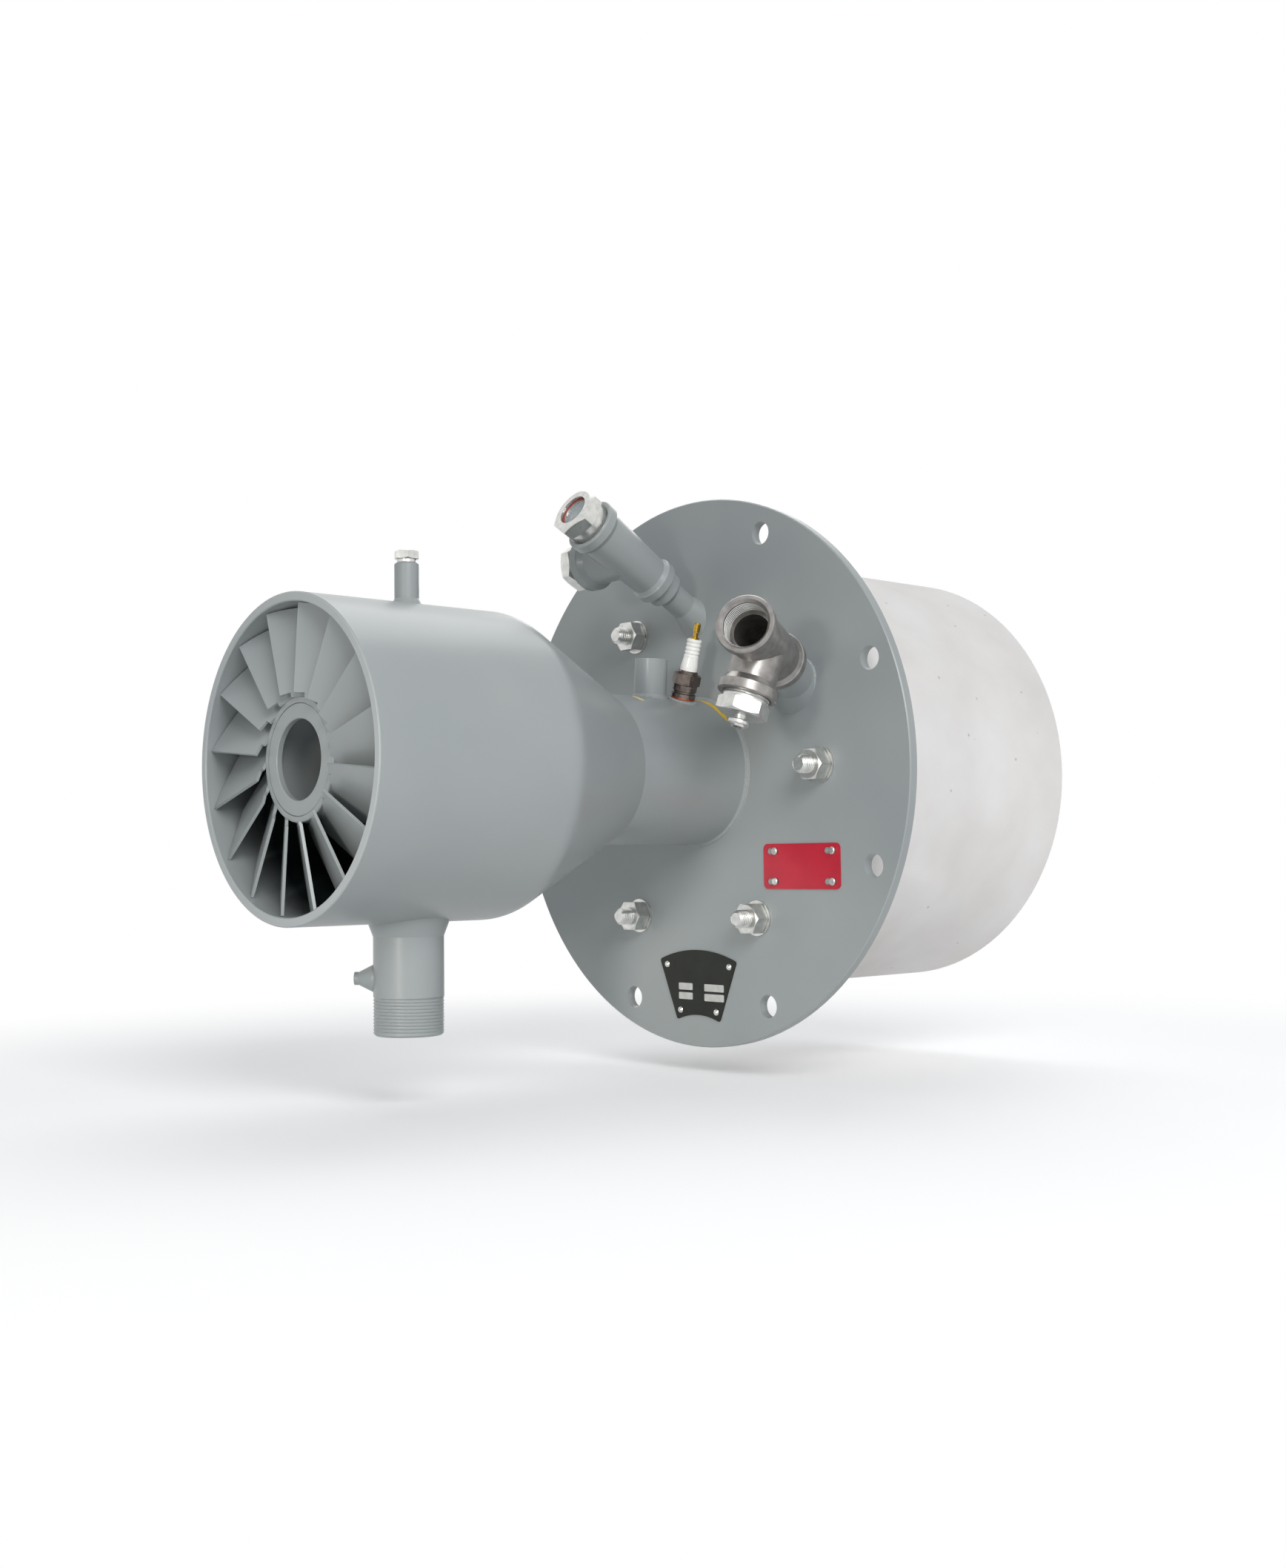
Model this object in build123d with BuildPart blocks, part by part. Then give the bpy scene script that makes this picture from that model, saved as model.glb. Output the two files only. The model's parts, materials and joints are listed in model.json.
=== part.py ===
from build123d import *
import os
from math import cos, radians, sin, sqrt

# Industrial gas burner, in millimetres.
# +X runs along the burner axis into the furnace and +Z is up.
# The origin is the centre of the mounting flange's front face.

os.makedirs("parts", exist_ok=True)

# ---------------------------------------------------------------- sizes

# mounting flange
FLANGE_R = 215.9            # 17 in plate
FLANGE_T = 8.0
FLANGE_EDGE = 0.8
BOLT_COUNT = 8
BOLT_EDGE = 20.6            # hole centre to the flange edge
BOLT_HOLE_D = 17.5
BOLT_START = 22.5           # the holes straddle the centre lines

# burner studs that hold the block to the flange
STUD_COUNT = 6
STUD_CIRCLE_D = 263.5
STUD_D = 12.7
STUD_FRONT = 24.5           # stud stands this far out of the flange
STUD_IN_BLOCK = 48.0
STUD_START = 30.0
NUT_AF = 22.2               # 1/2 in heavy hex nut
NUT_H = 12.3
WASHER_D = 27.0
WASHER_T = 1.8

# pipe sizes
THROAT_D = 114.3            # NPS 4
THROAT_WALL = 6.02
DRUM_D = 219.1              # NPS 8
DRUM_WALL = 6.35
GAS_PIPE_D = 48.3           # NPS 1 1/2
GAS_PIPE_WALL = 3.7
GAS_TUBE_D = 60.3           # NPS 2, inside the drum
GAS_TUBE_WALL = 3.9

# body lengths along X
DRUM_FRONT_X = -374.5
REDUCER_LENGTH = 140.0
THROAT_LENGTH = 101.8
REDUCER_BACK_X = -THROAT_LENGTH
REDUCER_FRONT_X = REDUCER_BACK_X - REDUCER_LENGTH
REDUCER_SKIRT = 23.3        # straight part at the large end
KNUCKLE_R = 30.0
CONE_ANGLE = 26.6
WELD = 2.5

# swirler
VANE_COUNT = 16
VANE_START = 5.5            # turn of the first vane from +Z
VANE_RECESS = 5.5
VANE_ANGLE = 58.0           # to the burner axis
VANE_CHORD = 36.0
VANE_REAR_GAP = 8.2         # outer corner of the rear edge to the drum wall
VANE_T = 2.0
VANE_NOTCH = 4.5
VANE_GAP = 0.6              # to the drum wall
HUB_D = 83.0
HUB_BORE = 54.0
HUB_WALL = 4.0
HUB_FACE_T = 5.0
HUB_LENGTH = 52.0
HUB_BACK_T = 5.0

# gas side
GAS_SETBACK = 97.5          # gas pipe behind the drum front
GAS_PIPE_END_Z = -185.5
GAS_THREAD_D = 47.3         # mean size of the pipe thread
GAS_THREAD_LENGTH = 26.0
GAS_TUBE_END_X = -128.0
NOZZLE_HEAD_T = 14.0
NOZZLE_COUNT = 10
NOZZLE_D = 7.0
NOZZLE_CIRCLE_D = 36.0
TEST_BOSS_Z = -147.0
TEST_BOSS_TURN = 135.0      # about Z, from +X
TEST_BOSS_OUT = 13.0
TEST_BOSS_BASE_R = 9.5
TEST_BOSS_TIP_R = 4.5
TEST_BOSS_BORE_R = 2.4

# air pressure test nipple on top of the drum
NIPPLE_D = 17.1             # NPS 3/8
NIPPLE_WALL = 2.35
NIPPLE_TOP_Z = 138.8
PLUG_AF = 16.0
PLUG_SCREW_L = 11.0
FIT = 0.06                  # radial clearance of a screwed part that comes out

# pilot stub and spark igniter on the throat
STUB_X = -52.5
STUB_TURN = 4.5             # from +Z towards -Y
STUB_D = 25.4
STUB_THREAD_D = 16.4        # NPS 3/8 half coupling
STUB_THREAD_DEPTH = 15.0
STUB_BORE = 14.6
STUB_TOP_R = 86.4
IGN_X = -30.5
IGN_TURN = 18.0
IGN_BOSS_D = 20.0
IGN_SEAT_R = 58.4
IGN_THREAD_D = 14.0
IGN_HEX_AF = 19.6
IGN_SHELL_D = 19.0
IGN_INSULATOR_D = 11.8
IGN_INSULATOR_FOOT_D = 13.4
IGN_TERMINAL_D = 5.2

# the two inclined ports
PORT_FOOT_R = 125.5
PORT_ANGLE = 29.0           # to the burner axis
SIGHT_TURN = 0.0
SIGHT_BRANCH_TURN = -86.0
SIGHT_PIPE_D = 21.3         # NPS 1/2
SIGHT_PIPE_WALL = 2.8
SCANNER_TURN = 60.0
SCANNER_BRANCH_TURN = 50.0
SCANNER_PIPE_D = 33.4       # NPS 1
SCANNER_PIPE_WALL = 3.4
TEE_CENTRE = 84.0           # along the port from its foot
TEE_HALF = 40.0
TEE_BAND_D = 43.0
TEE_BODY_D = 38.0
TEE_BORE_D = 26.6
TEE_SOCKET_D = 32.6
TEE_BAND_W = 8.0
TEE_SOCKET_DEPTH = 17.0
TEE_LEAD = 2.2              # countersink of a threaded end
SMALL_BAND_D = 36.5
SMALL_BODY_D = 32.0
COLLAR_D = 29.5
COLLAR_LENGTH = 14.0
SIGHT_HEX_AF = 36.0
SIDE_HEX_AF = 33.0

# block
GASKET_T = 10.0
GASKET_R = 164.0
BLOCK_R = 171.0
BLOCK_END_X = 255.0
BLOCK_EDGE = 4.0
TUNNEL_R0 = 54.0
TUNNEL_R1 = 104.0

# plates on the flange
PLATE_T = 0.9
NAME_DROP = 37.8            # centre of the fan shape below the flange edge
NAME_R_OUT = 113.6
NAME_R_IN = 62.8
NAME_HALF_ANGLE = 22.0
NOTICE_W = 76.2
NOTICE_H = 34.0
NOTICE_Y = -111.5
NOTICE_Z = -74.8
NOTICE_CORNER_R = 4.0
RIVET_D = 2.6
RIVET_HEAD_D = 5.2
RIVET_HEAD_T = 1.3
SCREW_HEAD_D = 5.6

# derived
BOLT_CIRCLE_D = 2 * (FLANGE_R - BOLT_EDGE)
NAME_CENTRE_Z = -(FLANGE_R + NAME_DROP)
GAS_X = DRUM_FRONT_X + GAS_SETBACK
BLOCK_X = FLANGE_T + GASKET_T
DRUM_R = DRUM_D / 2
DRUM_IN_R = DRUM_R - DRUM_WALL
THROAT_R = THROAT_D / 2
THROAT_IN_R = THROAT_R - THROAT_WALL
VANE_X = DRUM_FRONT_X + VANE_RECESS
HUB_R = HUB_D / 2
HUB_BACK_X = VANE_X + HUB_LENGTH


# ---------------------------------------------------------------- planes

def radial_plane(x, turn, r):
    """Plane on the burner body, turned from +Z towards -Y, looking outwards."""
    t = radians(turn)
    out = Vector(0, -sin(t), cos(t))
    return Plane(origin=Vector(x, 0, 0) + out * r, x_dir=(1, 0, 0), z_dir=out)


def port_frame(turn):
    """Foot point, axis and the two cross directions of an inclined port."""
    t = radians(turn)
    p = radians(PORT_ANGLE)
    out = Vector(0, -sin(t), cos(t))
    axis = Vector(-cos(p), 0, 0) + out * sin(p)
    inward = Vector(-sin(p), 0, 0) - out * cos(p)
    side = Vector(0, -cos(t), -sin(t))
    return out * PORT_FOOT_R, axis, inward, side


def port_plane(turn, s):
    """Plane across a port at distance s from its foot."""
    foot, axis, inward, side = port_frame(turn)
    return Plane(origin=foot + axis * s, x_dir=inward, z_dir=axis)


def branch_plane(turn, branch_turn, s):
    """Plane across a tee's side branch at distance s from the tee's centre."""
    foot, axis, inward, side = port_frame(turn)
    b = radians(branch_turn)
    direction = inward * cos(b) + side * sin(b)
    return Plane(origin=foot + axis * TEE_CENTRE + direction * s, x_dir=axis, z_dir=direction)


def flange_plane(x, y=0.0, z=0.0):
    """Plane on the flange: its local x is world -Y, its local y is world +Z."""
    return Plane(origin=(x, y, z), x_dir=(0, -1, 0), z_dir=(-1, 0, 0))


def section(origin, direction, across):
    """Half-section plane of a turned piece: local x runs along the piece's axis."""
    return Plane(origin=origin, x_dir=direction, z_dir=direction.cross(across))


def body_section(x, turn):
    """Half-section of a piece that stands on the burner body."""
    t = radians(turn)
    return section(Vector(x, 0, 0), Vector(0, -sin(t), cos(t)), Vector(1, 0, 0))


def port_section(turn):
    foot, axis, inward, side = port_frame(turn)
    return section(foot, axis, inward)


def branch_section(turn, branch_turn):
    plane = branch_plane(turn, branch_turn, 0)
    return section(plane.origin, plane.z_dir, plane.x_dir)


def turned(points, plane, mode=Mode.ADD):
    """Revolve the outline (along, radius) about the plane's x axis into the open part."""
    with BuildSketch(plane) as profile:
        with BuildLine():
            Polyline(*points, close=True)
        make_face()
    revolve(profile.sketch, axis=Axis(plane.origin, plane.x_dir), mode=mode)


def rod(s0, s1, r, plane, mode=Mode.ADD):
    turned([(s0, 0), (s1, 0), (s1, r), (s0, r)], plane, mode)


def hexagon(s0, s1, across_flats, plane):
    """Hexagon prism along the plane's x axis, with turned corners at both ends."""
    base = Plane(origin=plane.origin + plane.x_dir * s0, x_dir=plane.y_dir, z_dir=plane.x_dir)
    with BuildSketch(base) as flats:
        RegularPolygon(across_flats / 2, 6, major_radius=False)
    extrude(flats.sketch, amount=s1 - s0)
    edge = 0.05 * across_flats
    corner_r = across_flats / sqrt(3)
    face_r = 0.475 * across_flats
    turned(
        [(s0, 0), (s0, face_r), (s0 + edge, corner_r), (s1 - edge, corner_r), (s1, face_r), (s1, 0)],
        plane,
        Mode.INTERSECT,
    )


AXIS_PLANE = Plane(origin=(0, 0, 0), x_dir=(1, 0, 0), z_dir=(0, -1, 0))


def save(piece, name):
    piece.part.label = name
    export_step(piece.part, f"parts/{name}.step")


# ---------------------------------------------------------------- flange and throat

with BuildPart() as flange:
    with BuildSketch(flange_plane(FLANGE_T)):
        Circle(FLANGE_R)
        Circle(THROAT_R, mode=Mode.SUBTRACT)
        with PolarLocations(BOLT_CIRCLE_D / 2, BOLT_COUNT, start_angle=BOLT_START):
            Circle(BOLT_HOLE_D / 2, mode=Mode.SUBTRACT)
        with PolarLocations(STUD_CIRCLE_D / 2, STUD_COUNT, start_angle=90 - STUD_START):
            Circle(STUD_D / 2, mode=Mode.SUBTRACT)
    extrude(amount=FLANGE_T)
    rims = flange.edges().filter_by(GeomType.CIRCLE).filter_by(lambda e: e.radius > FLANGE_R - 1)
    chamfer(rims, FLANGE_EDGE)
    for turn, pipe_d in ((SIGHT_TURN, SIGHT_PIPE_D), (SCANNER_TURN, SCANNER_PIPE_D)):
        with BuildSketch(port_plane(turn, -40)):
            Circle(pipe_d / 2)
        extrude(amount=80, mode=Mode.SUBTRACT)
save(flange, "mounting_flange")

with BuildPart() as throat:
    with BuildSketch(AXIS_PLANE):
        with BuildLine():
            Polyline(
                (REDUCER_BACK_X, THROAT_IN_R),
                (FLANGE_T, THROAT_IN_R),
                (FLANGE_T, THROAT_R),
                (0, THROAT_R),
                (0, THROAT_R + WELD),
                (-WELD, THROAT_R),
                (REDUCER_BACK_X, THROAT_R),
                close=True,
            )
        make_face()
    revolve(axis=Axis.X)
    with BuildSketch(radial_plane(STUB_X, STUB_TURN, 30)):
        Circle(STUB_D / 2)
    extrude(amount=50, mode=Mode.SUBTRACT)
    with BuildSketch(radial_plane(IGN_X, IGN_TURN, 30)):
        Circle(IGN_BOSS_D / 2)
    extrude(amount=50, mode=Mode.SUBTRACT)
save(throat, "throat_pipe")

with BuildPart() as reducer:
    knuckle_x = REDUCER_FRONT_X + REDUCER_SKIRT
    turn_x = KNUCKLE_R * sin(radians(CONE_ANGLE))
    turn_r = KNUCKLE_R * (1 - cos(radians(CONE_ANGLE)))
    with BuildSketch(AXIS_PLANE):
        with BuildLine():
            skirt = Line((REDUCER_FRONT_X, DRUM_R), (knuckle_x, DRUM_R))
            knuckle = TangentArc(skirt @ 1, (knuckle_x + turn_x, DRUM_R - turn_r), tangent=(1, 0))
            cone_end_x = REDUCER_BACK_X - 5.0
            cone = Line(knuckle @ 1, (cone_end_x, THROAT_R))
            Line(cone @ 1, (REDUCER_BACK_X, THROAT_R))
            Line((REDUCER_BACK_X, THROAT_R), (REDUCER_BACK_X, THROAT_IN_R))
            inner_cone = Line((REDUCER_BACK_X, THROAT_IN_R), (cone_end_x - 1.5, THROAT_IN_R))
            inner_knuckle_x = knuckle_x + turn_x - 3.0
            inner_knuckle_r = DRUM_R - turn_r - DRUM_WALL + 0.4
            Line(inner_cone @ 1, (inner_knuckle_x, inner_knuckle_r))
            inner_arc = TangentArc(
                (knuckle_x, DRUM_IN_R), (inner_knuckle_x, inner_knuckle_r), tangent=(1, 0)
            )
            Line((knuckle_x, DRUM_IN_R), (REDUCER_FRONT_X, DRUM_IN_R))
            Line((REDUCER_FRONT_X, DRUM_IN_R), (REDUCER_FRONT_X, DRUM_R))
        make_face()
    revolve(axis=Axis.X)
save(reducer, "reducer_cone")

with BuildPart() as drum:
    with BuildSketch(Plane(origin=(DRUM_FRONT_X, 0, 0), x_dir=(0, 1, 0), z_dir=(1, 0, 0))):
        Circle(DRUM_R)
        Circle(DRUM_IN_R, mode=Mode.SUBTRACT)
    extrude(amount=REDUCER_FRONT_X - DRUM_FRONT_X)
    mouth = drum.edges().filter_by(GeomType.CIRCLE).group_by(Axis.X)[0]
    chamfer(mouth, 0.8)
    with BuildSketch(Plane.XY.offset(-60)):
        with Locations((GAS_X, 0)):
            Circle(GAS_PIPE_D / 2)
    extrude(amount=-80, mode=Mode.SUBTRACT)
    with BuildSketch(Plane.XY.offset(60)):
        with Locations((GAS_X, 0)):
            Circle(NIPPLE_D / 2)
    extrude(amount=80, mode=Mode.SUBTRACT)
save(drum, "air_drum")

# ---------------------------------------------------------------- swirler

# A vane is a flat plate standing on a radial line and turned back from it.
# Its outer end is cut straight from the front tip to the rear corner.
vane_turn = radians(VANE_ANGLE)

with BuildPart() as vanes:
    for i in range(VANE_COUNT):
        t = radians(VANE_START + 360 / VANE_COUNT * i)
        out = Vector(0, -sin(t), cos(t))
        side = Vector(0, -cos(t), -sin(t))
        back = Vector(cos(vane_turn), 0, 0) + side * sin(vane_turn)
        face = Plane(origin=(VANE_X, 0, 0), x_dir=back, z_dir=back.cross(out))
        with BuildSketch(face):
            with BuildLine():
                Polyline(
                    (0, HUB_R + VANE_NOTCH),
                    (0, DRUM_IN_R - VANE_GAP),
                    (VANE_CHORD, DRUM_IN_R - VANE_REAR_GAP),
                    (VANE_CHORD, HUB_R / 4),
                    (VANE_NOTCH, HUB_R * 0.7),
                    (VANE_NOTCH, HUB_R + VANE_NOTCH),
                    close=True,
                )
            make_face()
        extrude(amount=VANE_T)
    with BuildSketch(Plane(origin=(VANE_X - 5, 0, 0), x_dir=(0, 1, 0), z_dir=(1, 0, 0))):
        Circle(HUB_R)
    extrude(amount=VANE_CHORD + 5, mode=Mode.SUBTRACT)
save(vanes, "swirl_vanes")

with BuildPart() as hub_ring:
    with BuildSketch(Plane(origin=(VANE_X, 0, 0), x_dir=(0, 1, 0), z_dir=(1, 0, 0))):
        Circle(HUB_R)
        Circle(HUB_BORE / 2, mode=Mode.SUBTRACT)
    extrude(amount=HUB_FACE_T)
    chamfer(hub_ring.edges().group_by(Axis.X)[0], 0.6)
save(hub_ring, "hub_ring")

with BuildPart() as hub_tube:
    with BuildSketch(Plane(origin=(VANE_X + HUB_FACE_T, 0, 0), x_dir=(0, 1, 0), z_dir=(1, 0, 0))):
        Circle(HUB_R)
        Circle(HUB_R - HUB_WALL, mode=Mode.SUBTRACT)
    extrude(amount=HUB_LENGTH - HUB_FACE_T)
save(hub_tube, "hub_tube")

with BuildPart() as hub_back:
    with BuildSketch(Plane(origin=(HUB_BACK_X, 0, 0), x_dir=(0, 1, 0), z_dir=(1, 0, 0))):
        Circle(HUB_R)
    extrude(amount=HUB_BACK_T)
save(hub_back, "hub_back_plate")

# ---------------------------------------------------------------- gas side

gas_tube_x = HUB_BACK_X + HUB_BACK_T
gas_tube_in_r = GAS_TUBE_D / 2 - GAS_TUBE_WALL

with BuildPart() as gas_tube:
    with BuildSketch(Plane(origin=(gas_tube_x, 0, 0), x_dir=(0, 1, 0), z_dir=(1, 0, 0))):
        Circle(GAS_TUBE_D / 2)
        Circle(gas_tube_in_r, mode=Mode.SUBTRACT)
    extrude(amount=GAS_TUBE_END_X - gas_tube_x)
    with BuildSketch(Plane.XY):
        with Locations((GAS_X, 0)):
            Circle(GAS_PIPE_D / 2 - GAS_PIPE_WALL)
    extrude(amount=-50, mode=Mode.SUBTRACT)
save(gas_tube, "gas_tube")

with BuildPart() as nozzle_head:
    with BuildSketch(Plane(origin=(GAS_TUBE_END_X, 0, 0), x_dir=(0, 1, 0), z_dir=(1, 0, 0))):
        Circle(GAS_TUBE_D / 2)
        Circle(NOZZLE_D / 2, mode=Mode.SUBTRACT)
        with PolarLocations(NOZZLE_CIRCLE_D / 2, NOZZLE_COUNT):
            Circle(NOZZLE_D / 2, mode=Mode.SUBTRACT)
    extrude(amount=NOZZLE_HEAD_T)
    chamfer(nozzle_head.edges().filter_by(lambda e: e.length > 150).group_by(Axis.X)[-1], 4)
save(nozzle_head, "gas_nozzle_head")

gas_drop = section(Vector(GAS_X, 0, 0), Vector(0, 0, -1), Vector(1, 0, 0))
burner_line = section(Vector(0, 0, 0), Vector(1, 0, 0), Vector(0, 0, 1))
gas_pipe_r = GAS_PIPE_D / 2

with BuildPart() as gas_pipe:
    # weld bead outside the drum
    turned([(95, 15), (95, gas_pipe_r + 9), (DRUM_R + 9, gas_pipe_r), (DRUM_R + 9, 15)], gas_drop)
    rod(GAS_X - 60, GAS_X + 60, DRUM_R, burner_line, Mode.SUBTRACT)
    rod(15, -GAS_PIPE_END_Z - GAS_THREAD_LENGTH, gas_pipe_r, gas_drop)
    rod(15, -GAS_PIPE_END_Z, GAS_THREAD_D / 2, gas_drop)
    rod(GAS_X - 60, GAS_X + 60, GAS_TUBE_D / 2, burner_line, Mode.SUBTRACT)
    rod(0, 200, gas_pipe_r - GAS_PIPE_WALL, gas_drop, Mode.SUBTRACT)
    ends = gas_pipe.edges().filter_by(GeomType.CIRCLE).group_by(Axis.Z)[0]
    chamfer(ends.sort_by(SortBy.LENGTH)[-1], 1.2)
    boss_dir = Vector(1, 0, 0).rotate(Axis.Z, TEST_BOSS_TURN)
    boss = section(Vector(GAS_X, 0, TEST_BOSS_Z), boss_dir, Vector(0, 0, 1))
    rod(15, gas_pipe_r + TEST_BOSS_OUT, TEST_BOSS_BASE_R, boss, Mode.SUBTRACT)
save(gas_pipe, "gas_inlet_pipe")

with BuildPart() as test_boss:
    tip = gas_pipe_r + TEST_BOSS_OUT
    root = gas_pipe_r - GAS_PIPE_WALL + 0.6
    turned(
        [
            (root, TEST_BOSS_BORE_R),
            (root, TEST_BOSS_BASE_R),
            (gas_pipe_r, TEST_BOSS_BASE_R),
            (tip - 3, TEST_BOSS_TIP_R),
            (tip, TEST_BOSS_TIP_R),
            (tip, TEST_BOSS_BORE_R),
        ],
        boss,
    )
save(test_boss, "gas_test_boss")

# ---------------------------------------------------------------- air test nipple

nipple_line = body_section(GAS_X, 0)
nipple_r = NIPPLE_D / 2
nipple_in_r = nipple_r - NIPPLE_WALL

with BuildPart() as nipple:
    turned([(104, 4), (104, nipple_r + 5), (DRUM_R + 4, nipple_r), (DRUM_R + 4, 4)], nipple_line)
    rod(GAS_X - 30, GAS_X + 30, DRUM_R, burner_line, Mode.SUBTRACT)
    rod(DRUM_IN_R - 2, NIPPLE_TOP_Z, nipple_r, nipple_line)
    rod(0, 200, nipple_in_r, nipple_line, Mode.SUBTRACT)
    top = nipple.edges().filter_by(GeomType.CIRCLE).group_by(Axis.Z)[-1]
    chamfer(top.sort_by(SortBy.LENGTH)[-1], 1.2)
save(nipple, "air_test_nipple")

with BuildPart() as test_plug:
    hexagon(NIPPLE_TOP_Z + 2.2, NIPPLE_TOP_Z + 8.2, PLUG_AF, nipple_line)
    rod(NIPPLE_TOP_Z, NIPPLE_TOP_Z + 2.4, 6.6, nipple_line)
    rod(NIPPLE_TOP_Z - PLUG_SCREW_L, NIPPLE_TOP_Z + 1, nipple_in_r - FIT, nipple_line)
save(test_plug, "air_test_plug")

# ---------------------------------------------------------------- pilot stub and igniter

stub_line = body_section(STUB_X, STUB_TURN)
stub_r = STUB_D / 2

with BuildPart() as stub:
    turned([(54, 5), (54, stub_r + 2.6), (THROAT_R + 2, stub_r), (THROAT_R + 2, 5)], stub_line)
    rod(STUB_X - 30, STUB_X + 30, THROAT_R, burner_line, Mode.SUBTRACT)
    rod(THROAT_IN_R - 3, STUB_TOP_R, stub_r, stub_line)
    rod(0, 200, STUB_BORE / 2, stub_line, Mode.SUBTRACT)
    rod(STUB_TOP_R - STUB_THREAD_DEPTH, 200, STUB_THREAD_D / 2, stub_line, Mode.SUBTRACT)
save(stub, "pilot_stub")

ign = body_section(IGN_X, IGN_TURN)
thread_r = IGN_THREAD_D / 2
gasket_top = IGN_SEAT_R + 1.5
hex_start = gasket_top + 9.6
hex_end = hex_start + 9.0
shell_top = hex_end + 2.5
ceramic_top = shell_top + 24.8

with BuildPart() as ign_boss:
    turned(
        [
            (THROAT_IN_R - 2, thread_r + FIT),
            (THROAT_IN_R - 2, IGN_BOSS_D / 2),
            (IGN_SEAT_R, IGN_BOSS_D / 2),
            (IGN_SEAT_R, thread_r + FIT),
        ],
        ign,
    )
save(ign_boss, "igniter_boss")

with BuildPart() as ign_gasket:
    turned(
        [
            (IGN_SEAT_R, thread_r),
            (IGN_SEAT_R, IGN_SHELL_D / 2),
            (gasket_top, IGN_SHELL_D / 2),
            (gasket_top, thread_r),
        ],
        ign,
    )
    ring_edges = ign_gasket.edges().filter_by(lambda e: e.length > 50)
    fillet(ring_edges, 0.5)
save(ign_gasket, "igniter_gasket")

with BuildPart() as ign_shell:
    hexagon(hex_start, hex_end, IGN_HEX_AF, ign)
    shell_r = IGN_SHELL_D / 2
    turned(
        [
            (THROAT_IN_R - 4, 0),
            (THROAT_IN_R - 4, thread_r - 1),
            (THROAT_IN_R - 3, thread_r),
            (gasket_top, thread_r),
            (gasket_top, shell_r),
            (gasket_top + 3, shell_r),
            (gasket_top + 3.6, shell_r - 0.9),
            (gasket_top + 4.6, shell_r - 0.9),
            (gasket_top + 5.2, shell_r),
            (hex_start, shell_r),
            (hex_start + 1, shell_r - 1),
            (hex_start + 1, 0),
        ],
        ign,
    )
    turned([(hex_end - 1, 0), (hex_end - 1, 7.9), (shell_top - 1, 7.9), (shell_top, 6.6), (shell_top, 0)], ign)
    rod(0, shell_top - 14, 5.0, ign, Mode.SUBTRACT)
    rod(shell_top - 16, shell_top + 1, 4.6, ign, Mode.SUBTRACT)
save(ign_shell, "igniter_shell")

with BuildPart() as ign_ceramic:
    ceramic_r = IGN_INSULATOR_D / 2
    groove = 0.5
    outline = [
        (THROAT_IN_R - 6, 1.2),
        (THROAT_IN_R - 6, 2.4),
        (shell_top - 15, 3.4),
        (shell_top - 14, 4.6),
        (shell_top, 4.6),
        (shell_top, IGN_INSULATOR_FOOT_D / 2),
        (shell_top + 3, IGN_INSULATOR_FOOT_D / 2),
        (shell_top + 10, ceramic_r),
    ]
    for i in range(4):
        start = ceramic_top - 13.0 + 3.0 * i
        outline += [
            (start, ceramic_r),
            (start + 0.5, ceramic_r - groove),
            (start + 1.3, ceramic_r - groove),
            (start + 1.8, ceramic_r),
        ]
    outline += [(ceramic_top - 0.9, ceramic_r), (ceramic_top, ceramic_r - 0.9), (ceramic_top, 1.2)]
    turned(outline, ign)
save(ign_ceramic, "igniter_insulator")

with BuildPart() as ign_terminal:
    pin_r = IGN_TERMINAL_D / 2
    turned(
        [
            (ceramic_top, 0),
            (ceramic_top, pin_r + 0.5),
            (ceramic_top + 1.2, pin_r + 0.5),
            (ceramic_top + 1.6, pin_r - 0.7),
            (ceramic_top + 5.0, pin_r - 0.7),
            (ceramic_top + 6.0, pin_r),
            (ceramic_top + 11.4, pin_r),
            (ceramic_top + 12.8, pin_r - 1.2),
            (ceramic_top + 12.8, 0),
        ],
        ign,
    )
save(ign_terminal, "igniter_terminal")

with BuildPart() as ign_electrode:
    rod(THROAT_IN_R - 12, ceramic_top, 1.2, ign)
save(ign_electrode, "igniter_electrode")

# ---------------------------------------------------------------- inclined ports


def flange_side(x_from, x_to):
    rod(x_from, x_to, FLANGE_R, burner_line, Mode.SUBTRACT)


def port_pipe(turn, pipe_d, wall, end):
    """Pipe welded through the flange, its bead outside and its foot flush inside."""
    line = port_section(turn)
    r = pipe_d / 2
    turned([(-12, 2), (-12, r + 7.5), (12, r), (12, 2)], line)
    flange_side(0, 60)
    rod(-30, end, r, line)
    flange_side(FLANGE_T, 60)
    rod(-50, end + 1, r - wall, line, Mode.SUBTRACT)


def tee_shell(turn, branch_turn, outline):
    """Outside of a malleable tee: the run as an outline, the branch with its band."""
    turned(outline, port_section(turn))
    line = branch_section(turn, branch_turn)
    body_r = TEE_BODY_D / 2
    band_r = TEE_BAND_D / 2
    shoulder = TEE_HALF - TEE_BAND_W
    turned(
        [
            (0, 0),
            (0, body_r - 1),
            (shoulder - 4, body_r - 1),
            (shoulder, band_r - 0.8),
            (shoulder + 0.8, band_r),
            (TEE_HALF - 0.8, band_r),
            (TEE_HALF, band_r - 0.8),
            (TEE_HALF, 0),
        ],
        line,
    )


def socket(end, deep, plane, r=TEE_SOCKET_D / 2):
    """Threaded end of a fitting with its countersink; deep is the inner end."""
    mouth = [(deep, 0), (deep, r), (end - TEE_LEAD, r), (end, r + TEE_LEAD), (end, 0)]
    turned(mouth, plane, Mode.SUBTRACT)


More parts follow.
